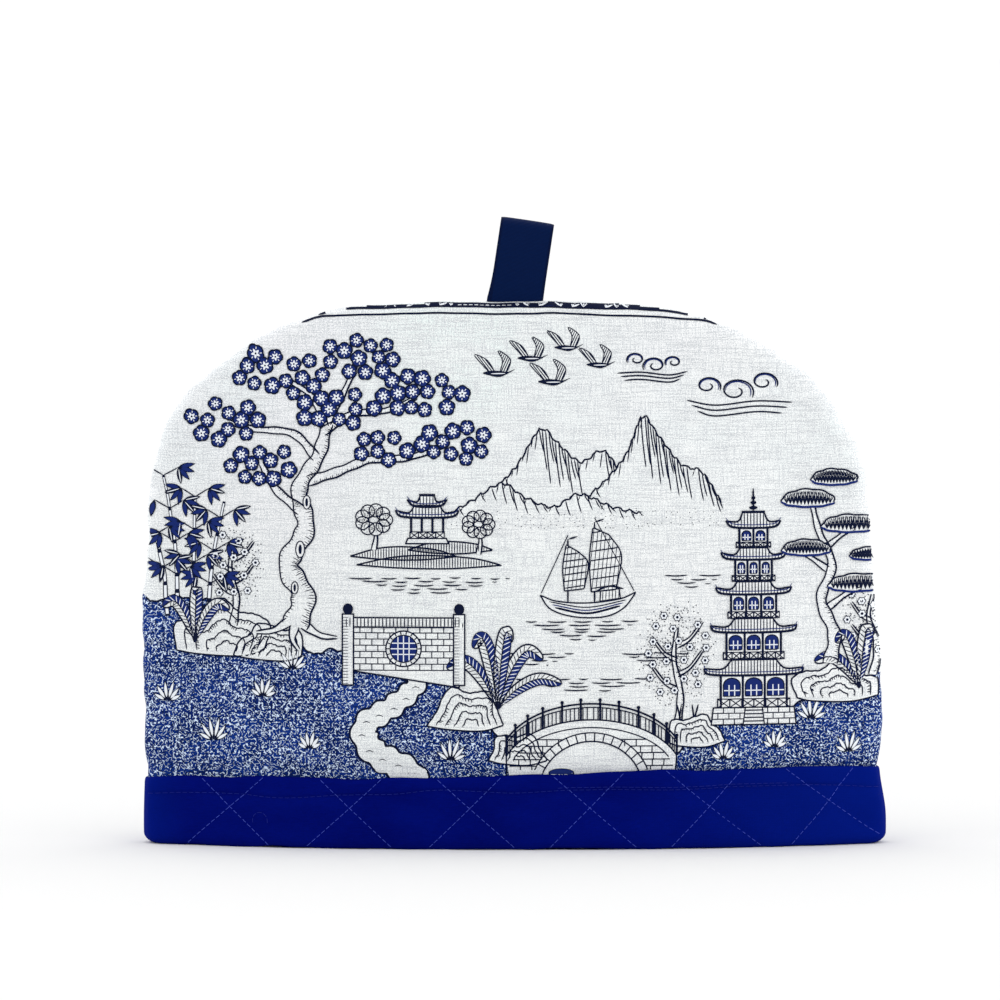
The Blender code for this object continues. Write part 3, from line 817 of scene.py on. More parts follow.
def plain_weave(x, up, pitch):
    """Threads over and under each other, as a height from 0 to 1."""
    over, under = sine(x * (math.pi / pitch)), sine(up * (math.pi / pitch))
    return 0.5 + 0.25 * (over + under) + 0.25 * over * under


def slubbed_cotton(finish, x, up):
    """Pale cotton with long slubs across it and finer threads up it, faintly tinted, with painted light over
    the middle and right: its colour and height.
    """
    slubs, uprights, grain, tint, patches = (
        finish.noise_over(x, up, kind) for kind in (SLUBS, UPRIGHTS, GRAIN, TINT, PATCHES)
    )
    greener = tint.between(0.40, 0.60) * 0.45 + size_of(x + 8.0).between(95.0, 20.0) * 0.55
    # the noise patches are random paler tone; the wide lift round x = 50 is painted light, brighter over the
    # middle and right
    paler_patches_and_painted_light = patches.between(0.35, 0.7) * 0.35 + size_of(x - 50.0).between(200.0, 40.0) * 0.5
    pale = (0.797, 0.800, 0.845)
    for share, colour in (
        (greener, (0.69, 0.855, 0.825)),
        (up.between(205.0, 125.0) * 0.6, (0.79, 0.81, 0.79)),
        (paler_patches_and_painted_light, (0.885, 0.905, 0.90)),
        (slubs.between(0.56, 0.38) * 0.85, (0.51, 0.535, 0.56)),
        (uprights.between(0.54, 0.36) * 0.85, (0.55, 0.58, 0.61)),
        (grain.between(0.50, 0.34) * 0.6, (0.56, 0.58, 0.61)),
        (grain.between(0.48, 0.62) * 0.9, (0.97, 0.985, 0.98)),
    ):
        pale = finish.mixed(share, pale, colour)
    return pale, (slubs + uprights) * 0.25 + plain_weave(x, up, WEAVE_PITCH) * 0.5


def speckled_ground(finish, x, up):
    """The blue ground of the print: deep and royal blue, broken by short pale specks."""
    worms, broken, depths = (finish.noise_over(x, up, kind) for kind in (WORMS, BROKEN, DEPTHS))
    off = size_of(worms - 0.5)
    specks = off.between(0.040, 0.025) * broken.between(0.43, 0.47)
    royal = finish.mixed(depths.between(0.35, 0.65), (0.003, 0.017, 0.125), (0.006, 0.032, 0.215))
    royal = finish.mixed(off.between(0.045, 0.09) * 0.75 + 0.25, (0.002, 0.007, 0.040), royal)
    return finish.mixed(specks, royal, (0.66, 0.79, 0.98))


def cotton_finish(name, printed):
    """Pale slubbed cotton, with the ground of the print or bare."""
    finish = Finish(name, COTTON, 0.9, 0.05)
    x, up, _ = finish.parts(finish.cloth_place())
    colour, height = slubbed_cotton(finish, x, up)
    if printed:
        inked = (shore_height(x) - up).between(-0.15, 0.15)
        colour = finish.mixed(inked, colour, speckled_ground(finish, x, up))
    finish.drive("Base Color", colour)
    finish.raised(height)
    return finish.material


def quilted_cotton_finish():
    """Deep blue cotton, matt, with its fine weave, and painted light: a little brighter towards the ends of the
    band, most at the right-hand end.
    """
    finish = Finish("quilted_cotton", (0.001, 0.006, 0.135), 0.9, 0.02)
    x, y, up = finish.parts(finish.object_place())
    slow = finish.noise((x * 0.02, y * 0.02, up * 0.05), 2.0)
    thready = finish.noise((x * 0.3, y * 0.3, up * 3.0), 2.0)
    share = slow.between(0.3, 0.7) * 0.6 + thready.between(0.3, 0.7) * 0.4
    deep = finish.mixed(share, (0.0001, 0.0022, 0.112), (0.0003, 0.0042, 0.158))
    # painted light: the band's colour is lifted towards both ends, more at the right-hand end, where the light
    # falls
    ends = x.between(40.0, 176.0) * 0.62 + x.between(-150.0, -177.0) * 0.5
    finish.drive("Base Color", finish.mixed(ends, deep, (0.0005, 0.0110, 0.205)))
    finish.raised(plain_weave(x, up, QUILTED_WEAVE_PITCH) * 0.6 + thready * 0.4)
    return finish.material


def navy_ribbon_finish():
    """Navy grosgrain: fine ribs across, and firm darker edges."""
    finish = Finish("navy_ribbon", (0.003, 0.010, 0.055), 0.55, 0.04)
    x, y, up = finish.parts(finish.object_place())
    x, up = x - RIBBON_FOOT_X, up - CROWN
    across, along = x * LEAN_UP - up * LEAN_ACROSS, x * LEAN_ACROSS + up * LEAN_UP
    rib = sine(along * (math.tau / RIB_PITCH)) * 0.5 + 0.5
    uneven = finish.noise((across * 0.25, along * 2.2, y * 0.2), 3.0)
    begins, ends = (RIBBON_WIDTH / 2 - inwards for inwards in SELVEDGE[::-1])
    body = finish.mixed(rib * 0.6 + uneven * 0.4, (0.0001, 0.0050, 0.038), (0.0010, 0.0115, 0.068))
    selvedge = size_of(across).between(begins, ends) * 0.6
    finish.drive("Base Color", finish.mixed(selvedge, body, (0.001, 0.004, 0.028)))
    finish.drive("Roughness", 0.62 - rib * 0.14)
    finish.raised(rib)
    return finish.material


def printed_ink_finish(name, colour):
    """Ink taken up by the cotton: one colour, as it stays crisp, and duller where the cloth's threads rise."""
    finish = Finish(name, colour, 0.85, 0.08)
    x, up, _ = finish.parts(finish.cloth_place())
    worn = finish.noise_over(x, up, WORN).between(0.35, 0.65)
    finish.drive("Roughness", 0.66 + plain_weave(x, up, WEAVE_PITCH) * 0.14 + worn * 0.14)
    return finish.material


def sewing_thread_finish(name, colour):
    """Twisted sewing thread, with a little more sheen where it is drawn tight."""
    finish = Finish(name, colour, 0.7, 0.05)
    tight = finish.noise(finish.object_place(), 2.0, scale=0.8)
    finish.drive("Roughness", tight.between(0.35, 0.65, 0.58, 0.82))
    return finish.material


# ---------------------------------------------------------------- the print's ground

# The shores' slopes, over the width where each rises: (from x, to x, rise)
SHORES = ((22, -52, 62), (-88, -150, 24), (56, 98, 30), (112, 168, 20))
SHORE_BASE = 27.0  # hidden behind the band


def ramp(x, start, end, rise):
    """0 to rise as x goes from start to end, eased."""
    share = clamped((x - start) / (end - start))
    return share * share * (3.0 - share * 2.0) * rise


def shore_height(x):
    """How high the blue ground reaches: two shores with scalloped edges, and water between them."""
    scallop = size_of(sine(x * 0.171 + 0.4)) * 3.6 + size_of(sine(x * 0.43 + 1.1)) * 1.5
    height = scallop * (ramp(x, 22, 14, 1) + ramp(x, 56, 64, 1)) + SHORE_BASE
    for start, end, rise in SHORES:
        height = height + ramp(x, start, end, rise)
    return height


# ---------------------------------------------------------------- ink

NAVY, BLUE, PALE, BARE = range(4)  # three inks, in the order of the print's materials, and bare cloth
LIFT, LAYER = 0.07, 0.03  # the first layer of ink above the cloth, and each further one
INK_FOOT = 26  # behind the band
INK_MARGIN = 0.15  # inside the seam
DOT, MIST_DOT = 0.3, 0.24


def curve(knots, closed=False):
    """A smooth line through the knots."""
    knots = np.array(knots, float)
    if closed:
        knots = np.concatenate([knots[-1:], knots, knots[:2]])
    else:
        knots = np.concatenate([2 * knots[:1] - knots[1:2], knots, 2 * knots[-1:] - knots[-2:-1]])
    pieces = []
    for a, b, c, d in zip(knots, knots[1:], knots[2:], knots[3:]):
        t = np.linspace(0, 1, max(2, math.ceil(np.linalg.norm(c - b))), endpoint=False)[:, None]
        bend = (2 * a - 5 * b + 4 * c - d) * t**2 + (3 * b - a - 3 * c + d) * t**3
        pieces.append(0.5 * (2 * b + (c - a) * t + bend))
    if not closed:
        pieces.append(knots[-2:-1])
    return np.concatenate(pieces)


def arc(centre, across, up, start=0.0, end=360.0):
    """Part of an ellipse, from and to these degrees."""
    count = max(8, int(abs(math.radians(end - start)) * max(across, up)))
    return toward(np.linspace(start, end, count + 1), across, up) + centre


def strip(left, right):
    """The outline of what lies between two lines that run side by side."""
    return np.concatenate([left, right[::-1]])


def box(x, low, half, tall, top=None):
    """The corners of an upright shape round x, as wide at its top unless it has another half width there."""
    top = half if top is None else top
    return [(x - half, low), (x + half, low), (x + top, low + tall), (x - top, low + tall)]


def within(points, outline):
    """Which of the points lie inside an outline."""
    x, z = points.T
    found = np.zeros(len(x), bool)
    for (ax, az), (bx, bz) in zip(outline, np.roll(outline, -1, axis=0)):
        if az != bz:
            found ^= ((az > z) != (bz > z)) & (x < ax + (z - az) * (bx - ax) / (bz - az))
    return found


def grid_over(outline, margin, pitch):
    """A square grid of points over an outline."""
    sides = [np.arange(low + margin, high, pitch) for low, high in zip(outline.min(0), outline.max(0))]
    return np.stack(np.meshgrid(*sides), -1).reshape(-1, 2)


def scatter(chance, placed, centre, across, up, apart, tries, most=math.inf):
    """Adds places over an ellipse, no two nearer than apart, until there are most more or the tries end."""
    most += len(placed)
    for _ in range(tries):
        if len(placed) >= most:
            return
        heading, reach = chance.uniform(0, math.tau), math.sqrt(chance.random())
        spot = centre + toward(math.degrees(heading), across * reach, up * reach)
        if all(np.linalg.norm(spot - other) > apart for other in placed):
            placed.append(spot)


class Ink:
    """A drawing on the flat cloth. Each mark has a level, and higher ones cover lower ones."""

    def __init__(self):
        self.points, self.levels, self.faces, self.inks = [], [], [], []
        self.base = 0

    def add(self, points, faces, level, colour):
        first = len(self.points)
        self.points.extend(np.asarray(points, float).tolist())
        self.levels.extend([self.base + level] * len(points))
        self.faces.extend([tuple(first + i for i in face) for face in faces])
        self.inks.extend([colour] * len(faces))

    def stroke(self, path, width=0.75, level=2, ends=0.4, colour=NAVY):
        """A line of ink, narrowing to a share of its width at both ends."""
        path = np.asarray(path, float)
        length = lengths_along(path)
        if length[-1] < 0.15:
            return
        at = np.linspace(0, length[-1], max(2, math.ceil(length[-1] / 1.1) + 1))
        line, count = points_along(path, length, at), len(at)
        fade = np.minimum(1, np.minimum(at, length[-1] - at) / min(1.6, length[-1] / 2) * (1 - ends) + ends)
        aside = directions(line)[1] * (width / 2 * fade)[:, None]
        faces = [(i, i + 1, count + i + 1, count + i) for i in range(count - 1)]
        self.add(np.concatenate([line - aside, line + aside]), faces, level, colour)

    def line(self, start, end, width, level, ends=1.0, colour=NAVY):
        """A straight line of ink."""
        self.stroke([start, end], width, level, ends, colour)

    def fan(self, ring, centre, level, colour=NAVY):
        """A small filled shape round its centre."""
        count = len(ring)
        self.add([*ring, centre], [(i, (i + 1) % count, count) for i in range(count)], level, colour)

    def disc(self, centre, across, up, level, colour=NAVY):
        self.fan(arc(centre, across, up)[:-1], centre, level, colour)

    def fill(self, outline, level=1, colour=BARE):
        """A filled shape of any outline."""
        outline = np.asarray(outline, float)
        grid = grid_over(outline, 1.3, 3.1)
        corners = [Vector(point) for point in np.concatenate([outline, grid[within(grid, outline)]])]
        found = delaunay_2d_cdt(corners, [], [list(range(len(outline)))], 1, 1e-4)
        self.add([tuple(point) for point in found[0]], found[2], level, colour)

    def shape(self, outline, width=0.75, level=1, colour=BARE):
        """A filled shape with its outline."""
        self.fill(outline, level, colour)
        self.stroke([*outline, outline[0]], width, level + 1, 1.0)

    def block(self, corners, width=0.75, level=1):
        """A filled shape with straight sides."""
        self.fill(corners, level)
        corners = np.asarray(corners, float)
        for start, end in zip(corners, np.roll(corners, -1, axis=0)):
            over = (end - start) / np.linalg.norm(end - start) * width * 0.4
            self.line(start - over, end + over, width, level + 1)

    def hatch(self, outline, degrees, pitch, width, level, inset=0.0):
        """Parallel lines across a shape."""
        outline = np.asarray(outline, float)
        along = toward(degrees)
        aside = np.array([-along[1], along[0]])
        u, v = outline @ along, outline @ aside
        for row in np.arange(v.min() + pitch / 2, v.max(), pitch):
            crossings = sorted(
                a_u + (row - a_v) * (b_u - a_u) / (b_v - a_v)
                for a_u, a_v, b_u, b_v in zip(u, v, np.roll(u, -1), np.roll(v, -1))
                if (a_v > row) != (b_v > row)
            )
            for start, end in zip(crossings[::2], crossings[1::2]):
                if end - start > 0.4 + 2 * inset:
                    start, end = (along * at + aside * row for at in (start + inset, end - inset))
                    self.line(start, end, width, level, 0.6)

    def dots(self, centres, radius, level):
        ring = toward(np.arange(0, 360, 60)) * radius
        for centre in centres:
            self.add(ring + centre, [(0, 1, 2, 3), (0, 3, 4, 5)], level, NAVY)

    def stipple(self, outline, pitch, share, seed, radius, level):
        """Dots scattered over a shape, kept by a share from 0 to 1 that depends on the place."""
        chance = np.random.default_rng(seed)
        outline = np.asarray(outline, float)
        grid = grid_over(outline, 0, pitch)
        grid += chance.uniform(-0.42, 0.42, grid.shape) * pitch
        kept = within(grid, outline) & (chance.random(len(grid)) < share(*grid.T))
        self.dots(grid[kept], radius, level)

    def piece(self, name, side, inks, materials):
        """The marks of some inks, laid on one panel as far as the seam and down behind the band."""
        flat, levels = np.array(self.points), np.array(self.levels)
        # The drawing reads the right way round from its own side.
        x, z = flat[:, 0] * -side, flat[:, 1]
        inside = seam_distance(x, z)[0]
        shown = (inside > INK_MARGIN) & (z > INK_FOOT) & (np.abs(x) < HALF_WIDTH - INK_MARGIN)
        kept = [i for i, ring in enumerate(self.faces) if self.inks[i] in inks and shown[list(ring)].all()]
        used = np.unique(np.concatenate([self.faces[i] for i in kept]))
        points = flared(on_wall(x[used], z[used], PRINT_OUTSIDE + LIFT + LAYER * levels[used]))
        number = np.zeros(len(flat), int)
        number[used] = np.arange(len(used))
        faces = [tuple(number[list(self.faces[i])].tolist()) for i in kept]
        slots = [inks.index(self.inks[i]) for i in kept]
        made = made_piece(name, turned(points, side), faces, materials, slots)
        marked(made, *flat[used].T)

        def faced(work):
            for face in work.faces:
                if face.normal.y * side < 0:
                    face.normal_flip()

        reworked(made, faced)
        return made


# ---------------------------------------------------------------- what the print shows


def limb(ink, thick, thin, *knots, level=1, bark=True):
    """A branch or trunk, pale with ink edges and short bark marks, narrowing from thick to thin."""
    line = curve(knots)
    along, aside = directions(line)
    share = np.linspace(0, 1, len(line))
    half = (thick + (thin - thick) * share) / 2 * (1 + 0.12 * np.sin(share * len(line) * 0.55))
    aside = aside * half[:, None]
    left, right = line + aside, line - aside
    ink.fill(strip(left, right), level)
    ink.stroke(left, 0.68, level + 1, 0.5)
    ink.stroke(right, 0.86, level + 1, 0.5)
    for i in range(2, len(line) - 2):
        if bark and half[i] > 0.9:
            reach = 0.55 + 0.25 * math.sin(i * 2.3)
            ink.line(right[i], right[i] + aside[i] * reach + along[i] * 0.3, 0.44, level + 1, 0.4)
            if i % 2:
                ink.line(left[i], left[i] - aside[i] * 0.3, 0.44, level + 1, 0.4)


def leaf(ink, base, degrees, long, wide, colour):
    """A pointed leaf from its base."""
    share = np.linspace(0, 1, 8)
    along = toward(degrees)
    line = base + along * (share * long)[:, None]
    aside = (wide * np.sin(share * math.pi) ** 0.8 * (1 - 0.35 * share))[:, None] * (-along[1], along[0])
    ring, middle = strip(line + aside, line - aside), line[4]
    ink.fan(ring, middle, 4)
    if colour == NAVY:
        ink.line(line[1], line[-2], 0.4, 5, 0.4, PALE)
    else:
        ink.fan(middle + (ring - middle) * 0.72, middle, 5, colour)


def blossom(ink, centre, radius, turn):
    """A five-lobed blue blossom with a pale star in it."""
    degrees, turn = np.arange(0, 360, 9), math.degrees(turn)
    lobes = radius * (0.86 + 0.14 * np.abs(np.cos(np.radians(2.5 * degrees))) ** 0.7)
    star = np.interp(degrees % 72, [0, 36, 72], [0.52, 0.2, 0.52]) * radius
    for level, (reach, colour) in enumerate(((lobes, NAVY), (lobes - 0.75, BLUE), (star, PALE)), 3):
        ink.fan(toward(degrees + turn, reach, reach) + centre, centre, level, colour)
    ink.dots([centre], 0.48, 6)
    for lobe in range(5):
        out = toward(turn + (lobe + 0.5) * 72) * radius
        ink.line(centre + out * 0.45, centre + out * 0.68, 0.44, 5, 0.8, PALE)


def small_flower(ink, centre, radius, turn):
    """A pale rosette with a dark eye."""
    degrees = np.arange(0, 360, 15)
    reach = radius * (0.86 + 0.14 * np.cos(np.radians(6 * degrees)))
    ring = toward(degrees + math.degrees(turn), reach, reach)
    ink.fan(ring + centre, centre, 6)
    ink.fan(ring * 0.78 + centre, centre, 7, PALE)
    ink.dots([centre], 0.72, 8)


# The blossom tree's limbs: (thick, thin, knots), and its clusters: (x, height, half width, half height)
TREE_LIMBS = (
    (11.5, 5.0, (-103, 104), (-99, 118), (-106, 133), (-98, 150), (-101, 168), (-92, 184), (-88, 199)),
    (4.6, 2.2, (-100, 158), (-112, 168), (-119, 180)),
    (4.6, 2.0, (-97, 172), (-84, 176), (-68, 182), (-50, 183), (-32, 189)),
    (4.0, 1.8, (-93, 183), (-104, 194), (-122, 196), (-134, 199)),
    (3.8, 1.6, (-90, 195), (-76, 203), (-60, 205), (-46, 211)),
    (3.6, 1.6, (-89, 197), (-95, 211), (-108, 220)),
    (3.4, 1.4, (-88, 199), (-80, 214), (-74, 227)),
)
TREE_KNOTS = ((-100.5, 140, 6.5), (-97.5, 162, 5.5), (-103, 122, 5))
TREE_ROOTS = (
    (4.0, 1.2, (-106, 106), (-113, 102), (-121, 101)),
    (4.0, 1.2, (-99, 105), (-91, 100), (-83, 99)),
    (4.0, 1.2, (-103, 104), (-104, 98), (-101, 93)),
)
BLOSSOM_CLUSTERS = (
    (-136, 200, 17, 9), (-110, 222, 20, 11), (-72, 230, 19, 8), (-44, 213, 20, 9.5),
    (-84, 206, 19, 8), (-119, 180, 15, 8), (-28, 190, 16, 8), (-62, 187, 14, 6.5),
)


def blossom_tree(ink):
    """An old flowering tree on the left shore, its trunk leaning and knotted."""
    for branch in TREE_LIMBS:
        limb(ink, *branch)
    for x, z, tall in TREE_KNOTS:
        ink.shape(arc((x, z), tall * 0.32, tall * 0.6), 0.55, 3)
        ink.disc((x, z), tall * 0.12, tall * 0.36, 5)
    for root in TREE_ROOTS:
        limb(ink, *root, level=2, bark=False)
    chance = np.random.default_rng(7)
    placed = []
    for x, z, across, up in BLOSSOM_CLUSTERS:
        scatter(chance, placed, (x, z), across, up, 6.3, 900, across * up / 4.0)
    for centre in placed:
        blossom(ink, centre, 3.9 + 0.35 * math.sin(centre[0] * 1.7), centre[1])


def roof(ink, centre, half, rise, level):
    """A tiled roof with upturned corners, seen from the front."""
    eave = curve([(-half - 3, 3.4), (-half, 0.6), (0, 0), (half, 0.6), (half + 3, 3.4)]) + centre
    over = curve([(half + 3, 3.4), (half * 0.72, rise * 0.42), (half * 0.5, rise)])
    over, back = over + centre, over[::-1] * (-1, 1) + centre
    whole = np.concatenate([eave, over, back])
    ink.fill(whole, level)
    ink.hatch(whole, 90, 1.5, 0.5, level + 1)
    ink.stroke(eave, 1.1, level + 2, 0.5)
    ink.stroke(eave + (0, 1.5), 0.45, level + 2, 0.5, BLUE)
    ink.stroke(over, 0.86, level + 2, 0.6)
    ink.stroke(back, 0.86, level + 2, 0.6)
    ink.line(back[0] - (0.5, 0), over[-1] + (0.5, 0), 1.2, level + 2)


# The tower's storeys: (foot, half width of the walls, height of the walls, half width of the roof, its rise)
STOREYS = (
    (66, 15.5, 15, 20.5, 7.5), (88.5, 12.8, 12.5, 17.5, 6.8), (107.8, 10.6, 11, 15, 6.2),
    (125, 8.6, 10, 12.5, 5.8), (140.8, 6.6, 9, 10, 7.5),
)
TOWER_X = 112.0


def tower(ink):
    """A slender tower of five storeys on the right shore."""
    x = TOWER_X
    ink.block(box(x, 58, 20, 8, 19), 0.7)
    bricks(ink, x - 19.5, x + 19.5, 58, 66, 2.7, 5.2)
    ink.block(box(x, 58, 5, 8, 4), 0.6, 3)
    for z in 59.6 + np.arange(4) * 1.7:
        ink.line((x - 4.6, z), (x + 4.6, z), 0.62, 5)
    for low, half, tall, over, rise in STOREYS:
        ink.block(box(x, low, half, tall), 0.7)
        posts = x + np.linspace(-half, half, 4 if half > 8 else 3)
        for post in posts:
            ink.line((post, low), (post, low + tall), 1.1, 3)
        for a, b in zip(posts, posts[1:]):
            window(ink, a + 1.2, b - 1.2, low + tall * 0.36, low + tall - 1.2)
        rail(ink, x - half - 1.5, x + half + 1.5, low, tall * 0.27)
        roof(ink, (x, low + tall), over, rise, 3)
    top = low + tall + rise
    ink.line((x, top), (x, top + 11), 0.9, 5, 0.3)
    for up, across in ((2, 2.0), (4.4, 1.5), (6.6, 1.05)):
        ink.disc((x, top + up), across, 0.85, 5)


def window(ink, left, right, low, high):
    """A blue opening with a round head and pale bars."""
    half = (right - left) / 2
    spring = high - half * 0.8
    head = arc((left + half, spring), half, high - spring, 0, 180)
    ink.shape([(left, low), (right, low), *head], 0.58, 2, BLUE)
    for x in np.linspace(left, right, 4)[1:-1]:
        ink.line((x, low), (x, spring), 0.48, 3, colour=PALE)
    ink.line((left, (low + spring) / 2), (right, (low + spring) / 2), 0.48, 3, colour=PALE)


def rail(ink, left, right, low, tall):
    """A low balustrade with crossed panels."""
    ink.block(box((left + right) / 2, low, (right - left) / 2, tall), 0.5, 3)
    posts = np.linspace(left, right, max(3, round((right - left) / (tall * 1.3))) + 1)
    for a, b in zip(posts, posts[1:]):
        ink.line((a, low), (b, low + tall), 0.48, 5)
        ink.line((a, low + tall), (b, low), 0.48, 5)
        ink.line((a, low), (a, low + tall), 0.62, 5)


def bricks(ink, left, right, low, high, tall, long):
    """Courses of brick, each set off from the one below by half a brick."""
    for course, z in enumerate(np.arange(low, high - 0.5, tall)):
        ink.line((left, z), (right, z), 0.5, 2)
        for x in np.arange(left + (long / 2 if course % 2 else long), right - 0.6, long):
            ink.line((x, z), (x, min(z + tall, high)), 0.5, 2)


def moon_gate(ink):
    """A brick wall with a round gate and a tiled coping, on the crest of the left shore."""
    left, right, low, high = -78.0, -26.0, 84.0, 104.0
    gate = np.array(((left + right) / 2, (low + high) / 2))
    ink.block([(left, low), (right, low - 8), (right, high), (left, high)], 0.7)
    bricks(ink, left, right, low, high, 2.9, 5.6)
    for level, (radius, colour) in enumerate(((8.6, NAVY), (7.9, BARE), (6.6, NAVY), (6.0, BLUE)), 3):
        ink.disc(gate, radius, radius, level, colour)
    for turn in range(0, 360, 20):
        ink.line(gate + toward(turn) * 6.7, gate + toward(turn) * 7.9, 0.54, 6)
    for lift in (-2.6, 0, 2.6):
        half = math.sqrt(36 - lift * lift)
        ink.line(gate + (-half, lift), gate + (half, lift), 0.48, 8, colour=PALE)
        ink.line(gate + (lift, -half), gate + (lift, half), 0.48, 8, colour=PALE)
    coping = box(gate[0], high, 28.5, 4.4, 26.5)
    ink.block(coping, 0.7, 3)
    ink.hatch(coping, 90, 1.7, 0.55, 5)
    for x in (left, right):
        ink.block(box(x, low - 7, 2.6, 33), 0.7, 5)
        ink.hatch(box(x - 1.2, low - 7, 1.4, 33), 0, 1.4, 0.35, 6)
        ink.disc((x, high + 8.4), 2.4, 2.6, 7)


def path_way(ink):
    """A pale path with a scalloped edge, from the gate down the shore."""
    line = curve([(-52, 86), (-46, 78), (-56, 68), (-70, 58), (-66, 46), (-50, 36), (-46, 24)])
    aside = directions(line)[1]
    half = 3.0 + 3.6 * np.linspace(0, 1, len(line))
    wave = 1.8 * np.abs(np.sin(np.arange(len(line)) * 0.42))
    left, right = line + aside * (half + wave)[:, None], line - aside * (half + wave[::-1])[:, None]
    ink.fill(strip(left, right))
    ink.stroke(left, 1.0, 2, 1.0)
    ink.stroke(right, 1.0, 2, 1.0)
    for i in range(6, len(line) - 4, 7):
        ink.stroke(curve([(-1.7, 0), (0, 0.7), (1.9, 0)]) + line[i] + aside[i] * 1.6 * math.sin(i), 0.48)


def bridge(ink):
    """A stone bridge of one high arch between the shores."""
    x, low = 36.0, 24.0
    spring, rise = np.array((x, 26)), np.array((x, 34))
    deck, under = arc(rise, 43, 27, 158, 22), arc(spring, 25, 25, 180, 0)
    ink.shape([(deck[0][0], low), *deck, (deck[-1][0], low), (under[-1][0], low), *under[::-1]], 0.7)
    ink.stroke(arc(spring, 29, 29, 180, 0), 0.62, 3, 1.0)
    for turn in range(6, 180, 9):
        ink.line(spring + toward(turn) * 25, spring + toward(turn) * 29, 0.58, 3)
    ink.stroke(arc(rise, 39.5, 23.4, 156, 24), 0.58, 3, 1.0)
    for course in range(1, 9):
        z = 27 + course * 3.1
        end = 39.5 * math.sqrt(max(1 - (max(z - 34, 0) / 23.4) ** 2, 0))
        start = math.sqrt(max(29.0**2 - (z - 26) ** 2, 0))
        for side in (-1, 1) if end - start >= 2 else ():
            ink.line((x + side * start, z), (x + side * end, z), 0.54, 3)
            for joint in x + side * np.arange(start + 2.2 + 2.6 * (course % 2), end, 5.4):
                ink.line((joint, z - 3.1), (joint, z), 0.54, 3)
    top = deck + (0, 7.5)
    ink.stroke(top, 0.85, 5, 1.0)
    ink.stroke(top - (0, 1.7), 0.54, 5, 1.0)
    for i in np.linspace(0, len(deck) - 1, 12).astype(int):
        ink.line(deck[i], top[i] + (0, 1.2), 1.0, 5)
        ink.dots([top[i] + (0, 1.9)], 0.9, 5)
    for i in np.linspace(0, len(deck) - 1, 48).astype(int):
        ink.line(deck[i], top[i] - (0, 1.7), 0.48, 4)


def junk(ink):
    """A two-masted sailing boat on the open water."""
    at = np.array((34.0, 112.0))
    keel = curve([(-22, 7), (-17, 0.5), (-6, -3), (8, -3), (17, 1), (23, 8.5)])
    gunwale = curve([(23, 8.5), (15, 5.2), (0, 3.4), (-14, 4.2), (-22, 7)])[1:-1]
    ink.shape(np.concatenate([keel, gunwale]) + at, 0.7)
    for drop, width, colour in ((1.2, 0.55, NAVY), (2.6, 0.55, BLUE), (4.0, 1.0, NAVY)):
        plank = curve([(-19 + drop, 5.2 - drop), (0, 2.6 - drop), (19.5 - drop, 6.0 - drop)])
        ink.stroke(plank + at, width, 3, 0.4, colour)
    cabin = at + [(6, 4.2), (15.5, 5.6), (15, 10), (6.4, 9)]
    ink.block(cabin, 0.6, 3)
    ink.hatch(cabin, 88, 1.5, 0.4, 5)
    ink.stroke(curve([(4.6, 9.2), (10.5, 11.2), (17, 10)]) + at, 0.9, 5)
    for mast, foot, head, wide in ((-9, 4, 33, 9.5), (3.5, 3.6, 41, 12.5)):
        ink.line(at + (mast, foot), at + (mast, head), 0.8, 3, 0.6)
        low, high = foot + 5, head - 2.5
        middle = (low + high) / 2
        luff = curve([(-1.6, low), (-2.4, middle), (-0.8, high)])
        leech = curve([(wide * 0.55, high - 3.5), (wide, middle + 2), (wide * 0.8, low + 1)])
        sail = np.concatenate([luff, leech]) + at + (mast, 0)
        ink.shape(sail, 0.65, 4)
        ink.hatch(sail, 8, (high - low) / 7, 0.6, 6)
        ink.hatch(sail, 84, 1.9, 0.34, 6)
        ink.line(at + (mast, head), at + (mast + 4.5, head + 1.4), 0.8, 6, 0.2)
    ink.line(at + (3.5, 43), at + (22, 9), 0.44, 4)
    ink.line(at + (-9, 35), at + (-21.5, 8), 0.44, 4)
    water_lines(ink, *at - (2, 5), 27, 6, 3)


def water_lines(ink, x, z, half, rows, seed):
    """Ripples, longest in the top row."""
    chance = np.random.default_rng(seed)
    for row in range(rows):
        reach = half * (1 - row / rows) ** 0.8
        at = x - reach
        while at < x + reach:
            end = min(at + chance.uniform(5, 13), x + reach)
            level = z - 1.7 * row + chance.uniform(-0.3, 0.3)
            ink.stroke(curve([(at, level), ((at + end) / 2, level - 0.35), (end, level)]), 0.62, 2, 0.1)
            at = end + chance.uniform(1.5, 5)


# The far mountains' ridges, back to front.
RIDGES = (
    ((-18, 160), (0, 178), (12, 196), (20, 190), (31, 181), (42, 186), (54, 170), (66, 163)),
    ((22, 158), (38, 168), (52, 184), (60, 202), (67, 194), (78, 180), (88, 176), (97, 162)),
    ((-32, 156), (-20, 163), (-6, 171), (4, 165), (18, 160), (30, 166), (46, 160), (60, 157)),
)


